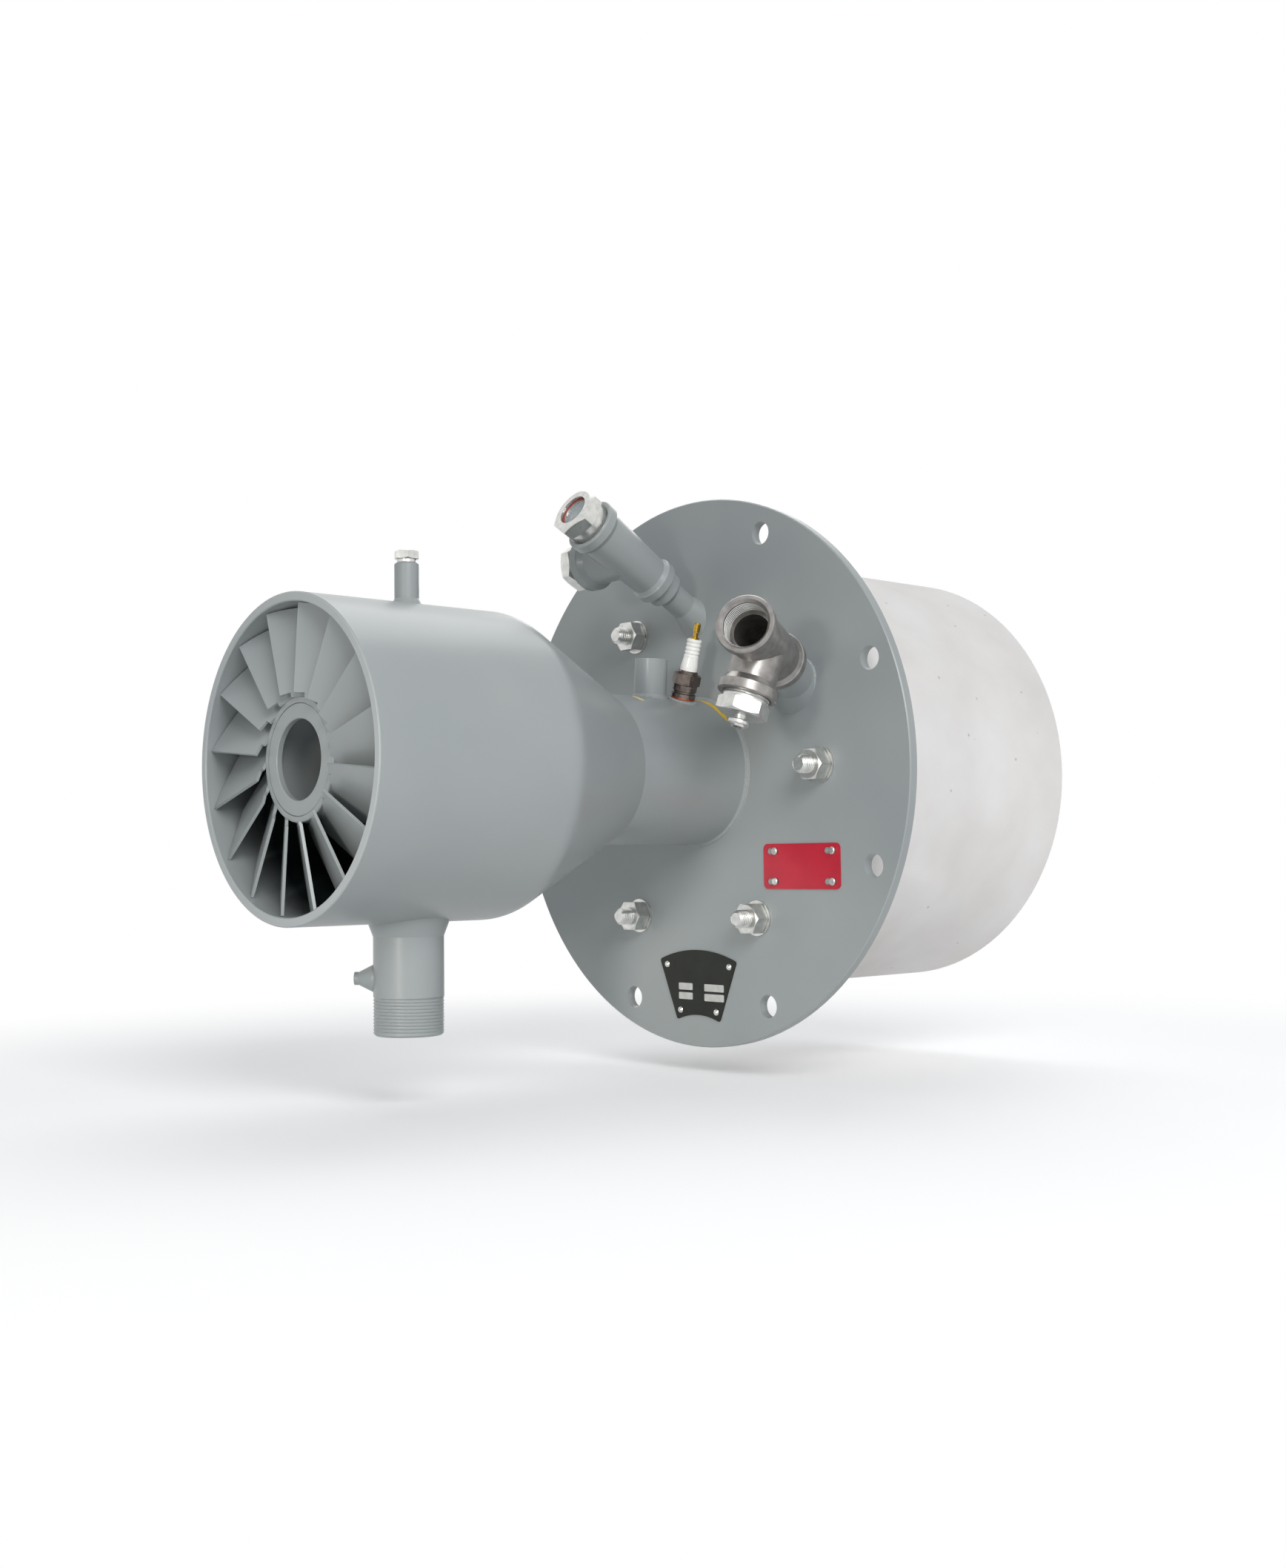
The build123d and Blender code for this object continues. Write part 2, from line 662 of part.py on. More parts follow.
tee_start = TEE_CENTRE - TEE_HALF
tee_end = TEE_CENTRE + TEE_HALF
sight = port_section(SIGHT_TURN)
scanner = port_section(SCANNER_TURN)
sight_branch = branch_section(SIGHT_TURN, SIGHT_BRANCH_TURN)
scanner_branch = branch_section(SCANNER_TURN, SCANNER_BRANCH_TURN)
socket_r = TEE_SOCKET_D / 2
small_socket_r = 13.2
band_r = TEE_BAND_D / 2
body_r = TEE_BODY_D / 2

with BuildPart() as sight_pipe:
    port_pipe(SIGHT_TURN, SIGHT_PIPE_D, SIGHT_PIPE_WALL, tee_start)
save(sight_pipe, "sight_pipe")

with BuildPart() as sight_collar:
    collar_start = tee_start - COLLAR_LENGTH
    turned(
        [
            (collar_start, SIGHT_PIPE_D / 2),
            (collar_start + 4.5, COLLAR_D / 2),
            (tee_start, COLLAR_D / 2),
            (tee_start, small_socket_r),
            (tee_start + 13, small_socket_r),
            (tee_start + 13, SIGHT_PIPE_D / 2 - SIGHT_PIPE_WALL),
            (tee_start, SIGHT_PIPE_D / 2 - SIGHT_PIPE_WALL),
            (tee_start, SIGHT_PIPE_D / 2),
        ],
        sight,
    )
save(sight_collar, "sight_reducing_collar")

with BuildPart() as sight_tee:
    tee_shell(
        SIGHT_TURN,
        SIGHT_BRANCH_TURN,
        [
            (tee_start, 0),
            (tee_start, SMALL_BAND_D / 2 - 0.8),
            (tee_start + 0.8, SMALL_BAND_D / 2),
            (tee_start + 7.2, SMALL_BAND_D / 2),
            (tee_start + 8, SMALL_BAND_D / 2 - 0.8),
            (tee_start + 11, SMALL_BODY_D / 2),
            (tee_end - 11, body_r),
            (tee_end - 8, band_r - 0.8),
            (tee_end - 7.2, band_r),
            (tee_end - 0.8, band_r),
            (tee_end, band_r - 0.8),
            (tee_end, 0),
        ],
    )
    rod(tee_start - 1, tee_end + 1, 10.0, sight, Mode.SUBTRACT)
    rod(tee_start - 1, tee_start + 13, small_socket_r, sight, Mode.SUBTRACT)
    rod(TEE_CENTRE - 8, tee_end, TEE_BORE_D / 2, sight, Mode.SUBTRACT)
    socket(tee_end, tee_end - TEE_SOCKET_DEPTH, sight)
    rod(0, TEE_HALF, TEE_BORE_D / 2, sight_branch, Mode.SUBTRACT)
    socket(TEE_HALF, TEE_HALF - TEE_SOCKET_DEPTH, sight_branch)
save(sight_tee, "sight_tee")

with BuildPart() as bushing:
    neck_end = tee_end + 7.5
    bushing_end = neck_end + 11.5
    hexagon(neck_end, bushing_end, SIGHT_HEX_AF, sight)
    rod(tee_end - 14, neck_end + 1, socket_r - FIT, sight)
    rod(tee_end - 15, bushing_end + 1, 9.5, sight, Mode.SUBTRACT)
    rod(bushing_end - 8.5, bushing_end + 1, 12.2, sight, Mode.SUBTRACT)
save(bushing, "sight_bushing")

with BuildPart() as lens:
    lens_start = bushing_end - 8.5
    turned([(lens_start, 0), (lens_start, 12.2), (lens_start + 5, 12.2), (lens_start + 5.6, 11.4), (lens_start + 5.6, 0)], sight)
save(lens, "sight_glass")

with BuildPart() as side_plug:
    hexagon(TEE_HALF + 4.5, TEE_HALF + 15, SIDE_HEX_AF, sight_branch)
    rod(TEE_HALF - 13, TEE_HALF + 6, socket_r, sight_branch)
    rod(TEE_HALF - 14, TEE_HALF + 9, 9.0, sight_branch, Mode.SUBTRACT)
save(side_plug, "sight_side_plug")

with BuildPart() as scanner_pipe:
    port_pipe(SCANNER_TURN, SCANNER_PIPE_D, SCANNER_PIPE_WALL, tee_start + 14)
save(scanner_pipe, "scanner_pipe")

with BuildPart() as scanner_tee:
    lip = band_r - 0.8
    tee_shell(
        SCANNER_TURN,
        SCANNER_BRANCH_TURN,
        [
            (tee_start, 0),
            (tee_start, lip),
            (tee_start + 0.8, band_r),
            (tee_start + 7.2, band_r),
            (tee_start + 8, lip),
            (tee_start + 11, body_r),
            (tee_end - 11, body_r),
            (tee_end - 8, lip),
            (tee_end - 7.2, band_r),
            (tee_end - 0.8, band_r),
            (tee_end, lip),
            (tee_end, 0),
        ],
    )
    rod(tee_start - 1, tee_end + 1, TEE_BORE_D / 2, scanner, Mode.SUBTRACT)
    rod(tee_start - 1, tee_start + 14, SCANNER_PIPE_D / 2, scanner, Mode.SUBTRACT)
    socket(tee_end, tee_end - TEE_SOCKET_DEPTH, scanner)
    rod(0, TEE_HALF, TEE_BORE_D / 2, scanner_branch, Mode.SUBTRACT)
    socket(TEE_HALF, TEE_HALF - TEE_SOCKET_DEPTH, scanner_branch)
save(scanner_tee, "scanner_tee")

with BuildPart() as hex_bushing:
    hexagon(TEE_HALF + 3.5, TEE_HALF + 14.5, SIDE_HEX_AF, scanner_branch)
    rod(TEE_HALF - 13, TEE_HALF + 4, socket_r, scanner_branch)
    rod(TEE_HALF - 14, TEE_HALF + 15, 6.5, scanner_branch, Mode.SUBTRACT)
save(hex_bushing, "scanner_hex_bushing")

with BuildPart() as air_fitting:
    fitting_start = TEE_HALF + 14.5
    turned(
        [
            (TEE_HALF, 3.0),
            (TEE_HALF, 6.5),
            (fitting_start, 6.5),
            (fitting_start, 4.4),
            (fitting_start + 2.6, 3.8),
            (fitting_start + 4.4, 7.6),
            (fitting_start + 6.4, 7.6),
            (fitting_start + 7.2, 5.6),
            (fitting_start + 8.5, 5.0),
            (fitting_start + 8.5, 3.0),
        ],
        scanner_branch,
    )
save(air_fitting, "scanner_air_fitting")

# ---------------------------------------------------------------- block and its studs

with BuildPart() as gasket:
    turned(
        [(FLANGE_T, THROAT_R + 2), (FLANGE_T, GASKET_R), (BLOCK_X, GASKET_R), (BLOCK_X, THROAT_R + 2)],
        burner_line,
    )
    with BuildSketch(flange_plane(BLOCK_X)):
        with PolarLocations(STUD_CIRCLE_D / 2, STUD_COUNT, start_angle=90 - STUD_START):
            Circle(STUD_D / 2)
    extrude(amount=GASKET_T, mode=Mode.SUBTRACT)
    rod(-GASKET_R, BLOCK_X, SIGHT_PIPE_D / 2, sight, Mode.SUBTRACT)
    rod(-GASKET_R, BLOCK_X, SCANNER_PIPE_D / 2, scanner, Mode.SUBTRACT)
save(gasket, "block_gasket")

with BuildPart() as block:
    turned(
        [
            (BLOCK_X, TUNNEL_R0),
            (BLOCK_X, BLOCK_R - BLOCK_EDGE),
            (BLOCK_X + BLOCK_EDGE, BLOCK_R),
            (BLOCK_END_X - BLOCK_EDGE, BLOCK_R),
            (BLOCK_END_X, BLOCK_R - BLOCK_EDGE),
            (BLOCK_END_X, TUNNEL_R1),
            (BLOCK_X + 20, TUNNEL_R0),
        ],
        burner_line,
    )
    with BuildSketch(flange_plane(BLOCK_X + STUD_IN_BLOCK)):
        with PolarLocations(STUD_CIRCLE_D / 2, STUD_COUNT, start_angle=90 - STUD_START):
            Circle(STUD_D / 2)
    extrude(amount=STUD_IN_BLOCK, mode=Mode.SUBTRACT)
    rod(-BLOCK_R, BLOCK_X, SIGHT_PIPE_D / 2 - SIGHT_PIPE_WALL, sight, Mode.SUBTRACT)
    rod(-BLOCK_R, BLOCK_X, SCANNER_PIPE_D / 2 - SCANNER_PIPE_WALL, scanner, Mode.SUBTRACT)
save(block, "refractory_block")

stud_line = section(Vector(0, 0, 0), Vector(0, 0, 1), Vector(1, 0, 0))

with BuildPart() as stud:
    stud_r = STUD_D / 2
    back = -BLOCK_X - STUD_IN_BLOCK
    turned(
        [(back, 0), (back, stud_r), (STUD_FRONT - 1.6, stud_r), (STUD_FRONT, stud_r - 1.6), (STUD_FRONT, 0)],
        stud_line,
    )

with BuildPart() as nut:
    hexagon(WASHER_T, WASHER_T + NUT_H, NUT_AF, stud_line)
    rod(0, 40, STUD_D / 2, stud_line, Mode.SUBTRACT)

with BuildPart() as washer:
    rod(0, WASHER_T, WASHER_D / 2, stud_line)
    rod(-1, 40, STUD_D / 2, stud_line, Mode.SUBTRACT)


for piece, name in ((stud, "block_studs"), (nut, "stud_nuts"), (washer, "stud_washers")):
    with BuildPart(flange_plane(0)) as group:
        with PolarLocations(STUD_CIRCLE_D / 2, STUD_COUNT, start_angle=90 - STUD_START):
            add(piece.part)
    save(group, name)

# ---------------------------------------------------------------- plates

fan_low = 90 - NAME_HALF_ANGLE
fan_sweep = 2 * NAME_HALF_ANGLE
name_centre = Vector(0, NAME_CENTRE_Z)
rivet_spots = [
    name_centre + Vector(NAME_R_OUT - 6.5, 0).rotate(Axis.Z, 90 - NAME_HALF_ANGLE + 3.2),
    name_centre + Vector(NAME_R_OUT - 6.5, 0).rotate(Axis.Z, 90 + NAME_HALF_ANGLE - 3.2),
    name_centre + Vector(NAME_R_IN + 6.0, 0).rotate(Axis.Z, 90 - NAME_HALF_ANGLE + 5.2),
    name_centre + Vector(NAME_R_IN + 6.0, 0).rotate(Axis.Z, 90 + NAME_HALF_ANGLE - 5.2),
]
slot_x = NOTICE_W / 2 - 9.5
slot_y = NOTICE_H / 2 - 5.6
slot_spots = [(sx * slot_x - NOTICE_Y, sy * slot_y + NOTICE_Z) for sx in (-1, 1) for sy in (-1, 1)]
screw_spots = [(x + 2.6, y) for x, y in slot_spots]

with BuildPart() as name_plate:
    with BuildSketch(flange_plane(0)):
        with BuildLine():
            outer = CenterArc((0, NAME_CENTRE_Z), NAME_R_OUT, fan_low, fan_sweep)
            inner = CenterArc((0, NAME_CENTRE_Z), NAME_R_IN, fan_low, fan_sweep)
            Line(outer @ 0, inner @ 0)
            Line(outer @ 1, inner @ 1)
        make_face()
        with Locations(*rivet_spots):
            Circle(RIVET_D / 2, mode=Mode.SUBTRACT)
    extrude(amount=PLATE_T)
    fillet(name_plate.edges().filter_by(Axis.X).filter_by(lambda e: e.length < 2), 2.0)
save(name_plate, "name_plate")

with BuildPart() as notice:
    with BuildSketch(flange_plane(0)):
        with Locations((-NOTICE_Y, NOTICE_Z)):
            RectangleRounded(NOTICE_W, NOTICE_H, NOTICE_CORNER_R)
        with Locations(*slot_spots):
            SlotOverall(12, 4.6, mode=Mode.SUBTRACT)
    extrude(amount=PLATE_T)
save(notice, "notice_plate")

with BuildPart() as rivet:
    rod(0, PLATE_T, RIVET_D / 2, stud_line)
    turned(
        [
            (PLATE_T, 0),
            (PLATE_T, RIVET_HEAD_D / 2),
            (PLATE_T + RIVET_HEAD_T * 0.6, RIVET_HEAD_D / 2 - 0.5),
            (PLATE_T + RIVET_HEAD_T, RIVET_HEAD_D / 4),
            (PLATE_T + RIVET_HEAD_T, 0),
        ],
        stud_line,
    )

with BuildPart() as screw:
    rod(0, PLATE_T, RIVET_D / 2, stud_line)
    rod(PLATE_T, PLATE_T + 2.0, SCREW_HEAD_D / 2, stud_line)
    chamfer(screw.edges().filter_by(GeomType.CIRCLE).group_by(Axis.Z)[-1], 0.6)

for piece, spots, name in (
    (rivet, rivet_spots, "name_plate_rivets"),
    (screw, screw_spots, "notice_plate_screws"),
):
    with BuildPart(flange_plane(0)) as group:
        with Locations(*spots):
            add(piece.part)
    save(group, name)
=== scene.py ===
import json
import math

import bmesh
import bpy
from mathutils import Matrix, Vector


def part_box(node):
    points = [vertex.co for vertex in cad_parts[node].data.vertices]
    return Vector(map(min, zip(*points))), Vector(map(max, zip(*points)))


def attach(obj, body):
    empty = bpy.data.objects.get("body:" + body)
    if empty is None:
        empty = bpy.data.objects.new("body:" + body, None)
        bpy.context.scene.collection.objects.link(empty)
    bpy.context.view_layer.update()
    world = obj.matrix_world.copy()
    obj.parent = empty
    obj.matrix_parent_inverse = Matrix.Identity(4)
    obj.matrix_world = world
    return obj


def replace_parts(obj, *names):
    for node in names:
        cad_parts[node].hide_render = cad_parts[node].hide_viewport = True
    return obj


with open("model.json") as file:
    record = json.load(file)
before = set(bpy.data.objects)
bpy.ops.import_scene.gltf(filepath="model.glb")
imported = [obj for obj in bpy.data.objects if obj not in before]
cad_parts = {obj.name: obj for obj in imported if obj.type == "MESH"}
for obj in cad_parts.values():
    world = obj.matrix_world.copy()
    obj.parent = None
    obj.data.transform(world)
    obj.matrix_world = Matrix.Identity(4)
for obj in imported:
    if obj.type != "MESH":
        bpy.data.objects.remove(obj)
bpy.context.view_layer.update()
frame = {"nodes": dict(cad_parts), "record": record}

# Industrial gas burner, in metres, in the frame of the CAD model.
# +X runs along the burner axis into the furnace and +Z is up.
# Turns are in degrees about the burner axis, from +Z towards -Y.

# ---------------------------------------------------------------- sizes

THROAT_R = 0.05715
DRUM_R = 0.10955
DRUM_IN_R = 0.1032
DRUM_FRONT_X = -0.3745
DRUM_SKIN = 0.002           # inside the drum means deeper in the wall than this
RIM_HIGHLIGHT_DEPTHS = (0.0001, 0.0005)   # depths behind the rim over which the painted highlight on its front face ends
INNER_SHADE_DEPTHS = (0.016, 0.045)      # depths behind the rim over which painted shade darkens the inner wall

VANE_COUNT = 16
VANE_START = math.radians(5.5)
VANE_X = -0.369
VANE_ANGLE = math.radians(60)
VANE_CHORD = 0.042
VANE_T = 0.002
VANE_NOTCH = 0.008
VANE_NOTCH_RISE = 0.0025
VANE_CORNER = 0.0001        # length over which the notch steps down to the hub
VANE_IN_HUB = 0.0005
VANE_GAP = 0.0006           # to the drum wall at the front edge
VANE_GAP_GAIN = 0.0020      # and this much more at the rear edge
VANE_STEPS = 8
HUB_R = 0.0415
HUB_IN_R = 0.0375
HUB_BORE_R = 0.027
HUB_FACE_X = -0.364
HUB_EDGE = 0.0005
HUB_RING_T = 0.004
HUB_RING_R = HUB_IN_R - 0.0002

STUD_COUNT = 6
STUD_CIRCLE_R = 0.13175
STUD_START = 30
STUD_R = 0.00635
STUD_END_X = -0.0245
STUD_CHAMFER = 0.0015
NUT_FRONT_X = -0.0141

GAS_X = -0.277
GAS_PIPE_R = 0.02415
GAS_THREAD_R = 0.02365
GAS_THREAD_TOP_Z = -0.1595
GAS_THREAD_L = 0.0242

NIPPLE_R = 0.00855
STUB_X = -0.0525
STUB_TURN = 4.5
STUB_R = 0.0127
IGNITER_X = -0.0305
IGNITER_TURN = 18
IGNITER_BOSS_R = 0.010

PORT_FOOT_R = 0.1255
PORT_ANGLE = math.radians(29)
TEE_CENTRE = 0.084
TEE_HALF = 0.040
PIPE_THREAD_R = 0.0163
PLUG_THREAD_L = 0.0043
BUSHING_THREAD_L = 0.0033
SOCKET_THREAD_R = PIPE_THREAD_R + 0.0002
SOCKET_THREAD_L = 0.0142
SOCKET_DEPTH = 0.0165
SIGHT_TURN = 0
SIGHT_BRANCH_TURN = -86
SIGHT_PIPE_R = 0.01065
SCANNER_TURN = 60
SCANNER_BRANCH_TURN = 50
SCANNER_PIPE_R = 0.0167

PITCH_11_5 = 0.0254 / 11.5  # NPS 1 and NPS 1 1/2 pipe thread
PITCH_13 = 0.0254 / 13      # 1/2 in coarse thread
RIDGE_SHARE = 0.27          # half height of a thread's ridge, as a share of its pitch

BEAD_R = 0.0015             # weld metal
BEAD_OUT = 0.0006           # centre of a bead outside a pipe's wall
SMALL_BEAD_OUT = 0.0004     # the same on the small bosses and the nipple
ON_DRUM = 0.0002            # centre of a bead above the drum

SEAL_R = 0.0115
SEAL_SECTION_R = 0.0007
SEAL_OUT = 0.0030           # from the middle of the sight glass towards the eye


# ---------------------------------------------------------------- nodes

# Sockets of one name are told apart by number: the mix node's colour sockets, and the
# random value node's float sockets.
MIX_SHARE, MIX_FROM, MIX_TO, MIXED = 0, 6, 7, 2
RANDOM_LOW, RANDOM_HIGH, RANDOM_OUT = 2, 3, 1


def add(tree, kind, inputs=None, **settings):
    """Adds a node to a tree with its settings, and its inputs as values or links."""
    made = tree.nodes.new(kind)
    for key, value in settings.items():
        setattr(made, key, value)
    for key, value in (inputs or {}).items():
        if isinstance(value, bpy.types.NodeSocket):
            tree.links.new(value, made.inputs[key])
        else:
            made.inputs[key].default_value = value
    return made


def linear(hex_colour):
    """sRGB hex such as "8a9096" as linear RGBA."""
    parts = [int(hex_colour[i:i + 2], 16) / 255 for i in (0, 2, 4)]
    return (*[c / 12.92 if c <= 0.04045 else ((c + 0.055) / 1.055) ** 2.4 for c in parts], 1.0)


# ---------------------------------------------------------------- finishes

def new_material(name):
    """A material with an empty node tree, and the place of each point on the object."""
    made = bpy.data.materials.new(name)
    made.use_nodes = True
    tree = made.node_tree
    tree.nodes.clear()
    return made, tree, add(tree, "ShaderNodeTexCoord").outputs["Object"]


def finish(name, shade):
    """A material whose surface takes the inputs that shade(tree, place) returns."""
    made, tree, place = new_material(name)
    surface = add(tree, "ShaderNodeBsdfPrincipled", shade(tree, place))
    add(tree, "ShaderNodeOutputMaterial", {"Surface": surface.outputs["BSDF"]})
    return made


def clouds(tree, place, size_mm, dark, light, detail=3.0):
    """Soft patches of two tones, size_mm across."""
    noise = add(
        tree,
        "ShaderNodeTexNoise",
        {"Vector": place, "Scale": 1000 / size_mm, "Detail": detail},
    )
    spread = add(
        tree,
        "ShaderNodeMapRange",
        {"Value": noise.outputs["Fac"], "From Min": 0.3, "From Max": 0.7},
    )
    tone = add(
        tree,
        "ShaderNodeMix",
        {MIX_SHARE: spread.outputs["Result"], MIX_FROM: linear(dark), MIX_TO: linear(light)},
        data_type="RGBA",
    )
    return tone.outputs[MIXED]


def grain(tree, place, size_mm, depth_mm, detail=2.0):
    """Relief of grains size_mm across and depth_mm deep."""
    noise = add(
        tree,
        "ShaderNodeTexNoise",
        {"Vector": place, "Scale": 1000 / size_mm, "Detail": detail},
    )
    relief = add(tree, "ShaderNodeBump", {"Height": noise.outputs["Fac"], "Distance": depth_mm / 1000})
    return relief.outputs["Normal"]


def grey_enamel(tree, place):
    """Industrial enamel sprayed on welded steel: satin, with faint orange peel and soft clouds."""
    return {
        "Base Color": clouds(tree, place, 120, "929899", "9a9f9f", 2.0),
        "Roughness": 0.36,
        "Specular IOR Level": 0.42,
        "Coat Weight": 0.12,
        "Coat Roughness": 0.18,
        "Normal": grain(tree, place, 2.6, 0.022),
    }


def drum_enamel(tree, place):
    """The same enamel on the drum, with a painted highlight on the rim's front face and painted shade
    darkening the inner wall deeper in.
    """
    surface = grey_enamel(tree, place)
    split = add(tree, "ShaderNodeSeparateXYZ", {"Vector": place}).outputs
    cross = add(tree, "ShaderNodeCombineXYZ", {"Y": split["Y"], "Z": split["Z"]})
    radius = add(tree, "ShaderNodeVectorMath", {0: cross.outputs[0]}, operation="LENGTH")
    inside = add(
        tree,
        "ShaderNodeMath",
        {0: radius.outputs["Value"], 1: DRUM_R - DRUM_SKIN},
        operation="LESS_THAN",
    )
    deep = add(
        tree,
        "ShaderNodeMapRange",
        {
            "Value": split["X"],
            "From Min": DRUM_FRONT_X + INNER_SHADE_DEPTHS[0],
            "From Max": DRUM_FRONT_X + INNER_SHADE_DEPTHS[1],
        },
    )
    # Painted shade: deep inside the drum the enamel turns dark teal, standing for the shade there.
    inner_shade_share = add(
        tree,
        "ShaderNodeMath",
        {0: inside.outputs[0], 1: deep.outputs["Result"]},
        operation="MULTIPLY",
    )
    # Painted highlight: the rim's front face is painted a paler enamel tone.
    rim = add(
        tree,
        "ShaderNodeMapRange",
        {
            "Value": split["X"],
            "From Min": DRUM_FRONT_X + RIM_HIGHLIGHT_DEPTHS[0],
            "From Max": DRUM_FRONT_X + RIM_HIGHLIGHT_DEPTHS[1],
            "To Min": 1.0,
            "To Max": 0.0,
        },
    )
    rim_highlighted = add(
        tree,
        "ShaderNodeMix",
        {
            MIX_SHARE: rim.outputs["Result"],
            MIX_FROM: surface["Base Color"],
            MIX_TO: linear("a9aeaf"),
        },
        data_type="RGBA",
    )
    inner_shaded = add(
        tree,
        "ShaderNodeMix",
        {MIX_SHARE: inner_shade_share.outputs[0], MIX_FROM: rim_highlighted.outputs[MIXED], MIX_TO: linear("2f3638")},
        data_type="RGBA",
    )
    return surface | {"Base Color": inner_shaded.outputs[MIXED]}


def bore_shade_steel(tree, place):
    """Dark, dull steel for the parts deep in the hub bore: its dark blue-grey is painted shade, with
    warmer clouds.
    """
    return {
        "Base Color": clouds(tree, place, 26, "3a3d3f", "55534f", 4.0),
        "Metallic": 0.4,
        "Roughness": 0.55,
        "Normal": grain(tree, place, 1.5, 0.02),
    }


def zinc_plate(tree, place):
    """Bright zinc plated steel: pale, with faint patches where the plating clouded."""
    return {
        "Base Color": clouds(tree, place, 5, "c6c7c4", "dededa"),
        "Metallic": 0.92,
        "Roughness": 0.30,
        "Normal": grain(tree, place, 1.0, 0.006),
    }


def malleable_iron(tree, place):
    """Malleable iron fittings, sand cast: dark grey, a little oily, with a fine cast skin."""
    return {
        "Base Color": clouds(tree, place, 7, "868381", "a19e9b"),
        "Metallic": 0.8,
        "Roughness": 0.33,
        "Normal": grain(tree, place, 1.3, 0.022),
    }


def blackened_steel(tree, place):
    """Turned steel with a black oxide finish: dark, with soft shine on its edges."""
    return {
        "Base Color": clouds(tree, place, 4, "5f5652", "847973"),
        "Metallic": 0.9,
        "Roughness": 0.26,
        "Normal": grain(tree, place, 0.8, 0.008),
    }


def turned_brass(tree, place):
    """Plain turned brass, slightly dulled."""
    return {
        "Base Color": clouds(tree, place, 2, "b08f3c", "c9a94e"),
        "Metallic": 1.0,
        "Roughness": 0.27,
        "Normal": grain(tree, place, 0.5, 0.003),
    }


def annealed_copper(tree, place):
    """Soft copper washer: warm orange, matt."""
    return {
        "Base Color": clouds(tree, place, 3, "b0583a", "c46c48"),
        "Metallic": 1.0,
        "Roughness": 0.4,
        "Normal": grain(tree, place, 0.7, 0.004),
    }


def glazed_ceramic(tree, place):
    """Glazed alumina: milky white with a wet gloss."""
    return {
        "Base Color": clouds(tree, place, 12, "ecebe7", "f5f4f1"),
        "Roughness": 0.18,
        "Coat Weight": 0.5,
        "Coat Roughness": 0.06,
        "Normal": grain(tree, place, 2.0, 0.004),
    }


def clear_glass(tree, place):
    """Toughened glass lens: clear, faintly grey."""
    return {
        "Base Color": linear("dfe8ec"),
        "Roughness": 0.05,
        "IOR": 1.5,
        "Transmission Weight": 0.7,
    }


def shaded_gasket_fibre(tree, place):
    """Gasket between flange and block: near black as painted shade for the gap there, furry, with no
    shine.
    """
    return {
        "Base Color": clouds(tree, place, 4, "18181b", "2a2a2e"),
        "Roughness": 0.95,
        "Normal": grain(tree, place, 1.2, 0.12, 4.0),
    }


def black_anodised(tree, place):
    """Anodised aluminium plate: black with a silky sheen."""
    return {
        "Base Color": clouds(tree, place, 18, "14170f", "1d2018"),
        "Metallic": 0.35,
        "Roughness": 0.38,
        "Normal": grain(tree, place, 0.6, 0.003),
    }


def red_lacquer(tree, place):
    """Aluminium plate under crimson lacquer: even colour, soft gloss."""
    return {
        "Base Color": clouds(tree, place, 22, "b3122c", "bd1630"),
        "Roughness": 0.33,
        "Coat Weight": 0.25,
        "Coat Roughness": 0.12,
        "Normal": grain(tree, place, 1.8, 0.004),
    }


def reflection_tint(dark, light):
    """Painted reflection: a thin, streaky film of warm colour for light caught along the throat's top.
    """

    def shade(tree, place):
        return {
            "Base Color": clouds(tree, place, 3, dark, light),
            "Roughness": 0.5,
            "Normal": grain(tree, place, 0.8, 0.01),
        }

    return shade


def seal_rubber(tree, place):
    """Red silicone seal round the sight glass: soft and matt."""
    return {
        "Base Color": clouds(tree, place, 2, "8e3327", "a54334"),
        "Roughness": 0.6,
        "Normal": grain(tree, place, 0.6, 0.004),
    }


def bare_aluminium(tree, place):
    """Unprinted fields of the anodised plate, left as pale brushed aluminium."""
    return {
        "Base Color": clouds(tree, place, 6, "b9bab6", "c9cac6"),
        "Metallic": 0.6,
        "Roughness": 0.42,
        "Normal": grain(tree, place, 0.5, 0.003),
    }


def cast_refractory(tree, place):
    """Castable refractory: chalk white, gritty, with a few open pits left by air in the mould, drawn
    only as darker spots of painted shade.
    """
    cells = add(tree, "ShaderNodeTexVoronoi", {"Vector": place, "Scale": 1000 / 24})
    # Painted shade: the pits are darker warm-grey spots with no relief of their own.
    pit_shade = add(
        tree,
        "ShaderNodeMapRange",
        {
            "Value": cells.outputs["Distance"],
            "From Min": 0.02,
            "From Max": 0.07,
            "To Min": 1.0,
            "To Max": 0.0,
        },
    )
    tone = add(
        tree,
        "ShaderNodeMix",
        {
            MIX_SHARE: pit_shade.outputs["Result"],
            MIX_FROM: clouds(tree, place, 70, "dedad7", "e8e6e5", 4.0),
            MIX_TO: linear("c3bab2"),
        },
        data_type="RGBA",
    )
    return {
        "Base Color": tone.outputs[MIXED],
        "Roughness": 0.9,
        "Specular IOR Level": 0.2,
        "Normal": grain(tree, place, 2.0, 0.10, 5.0),
    }


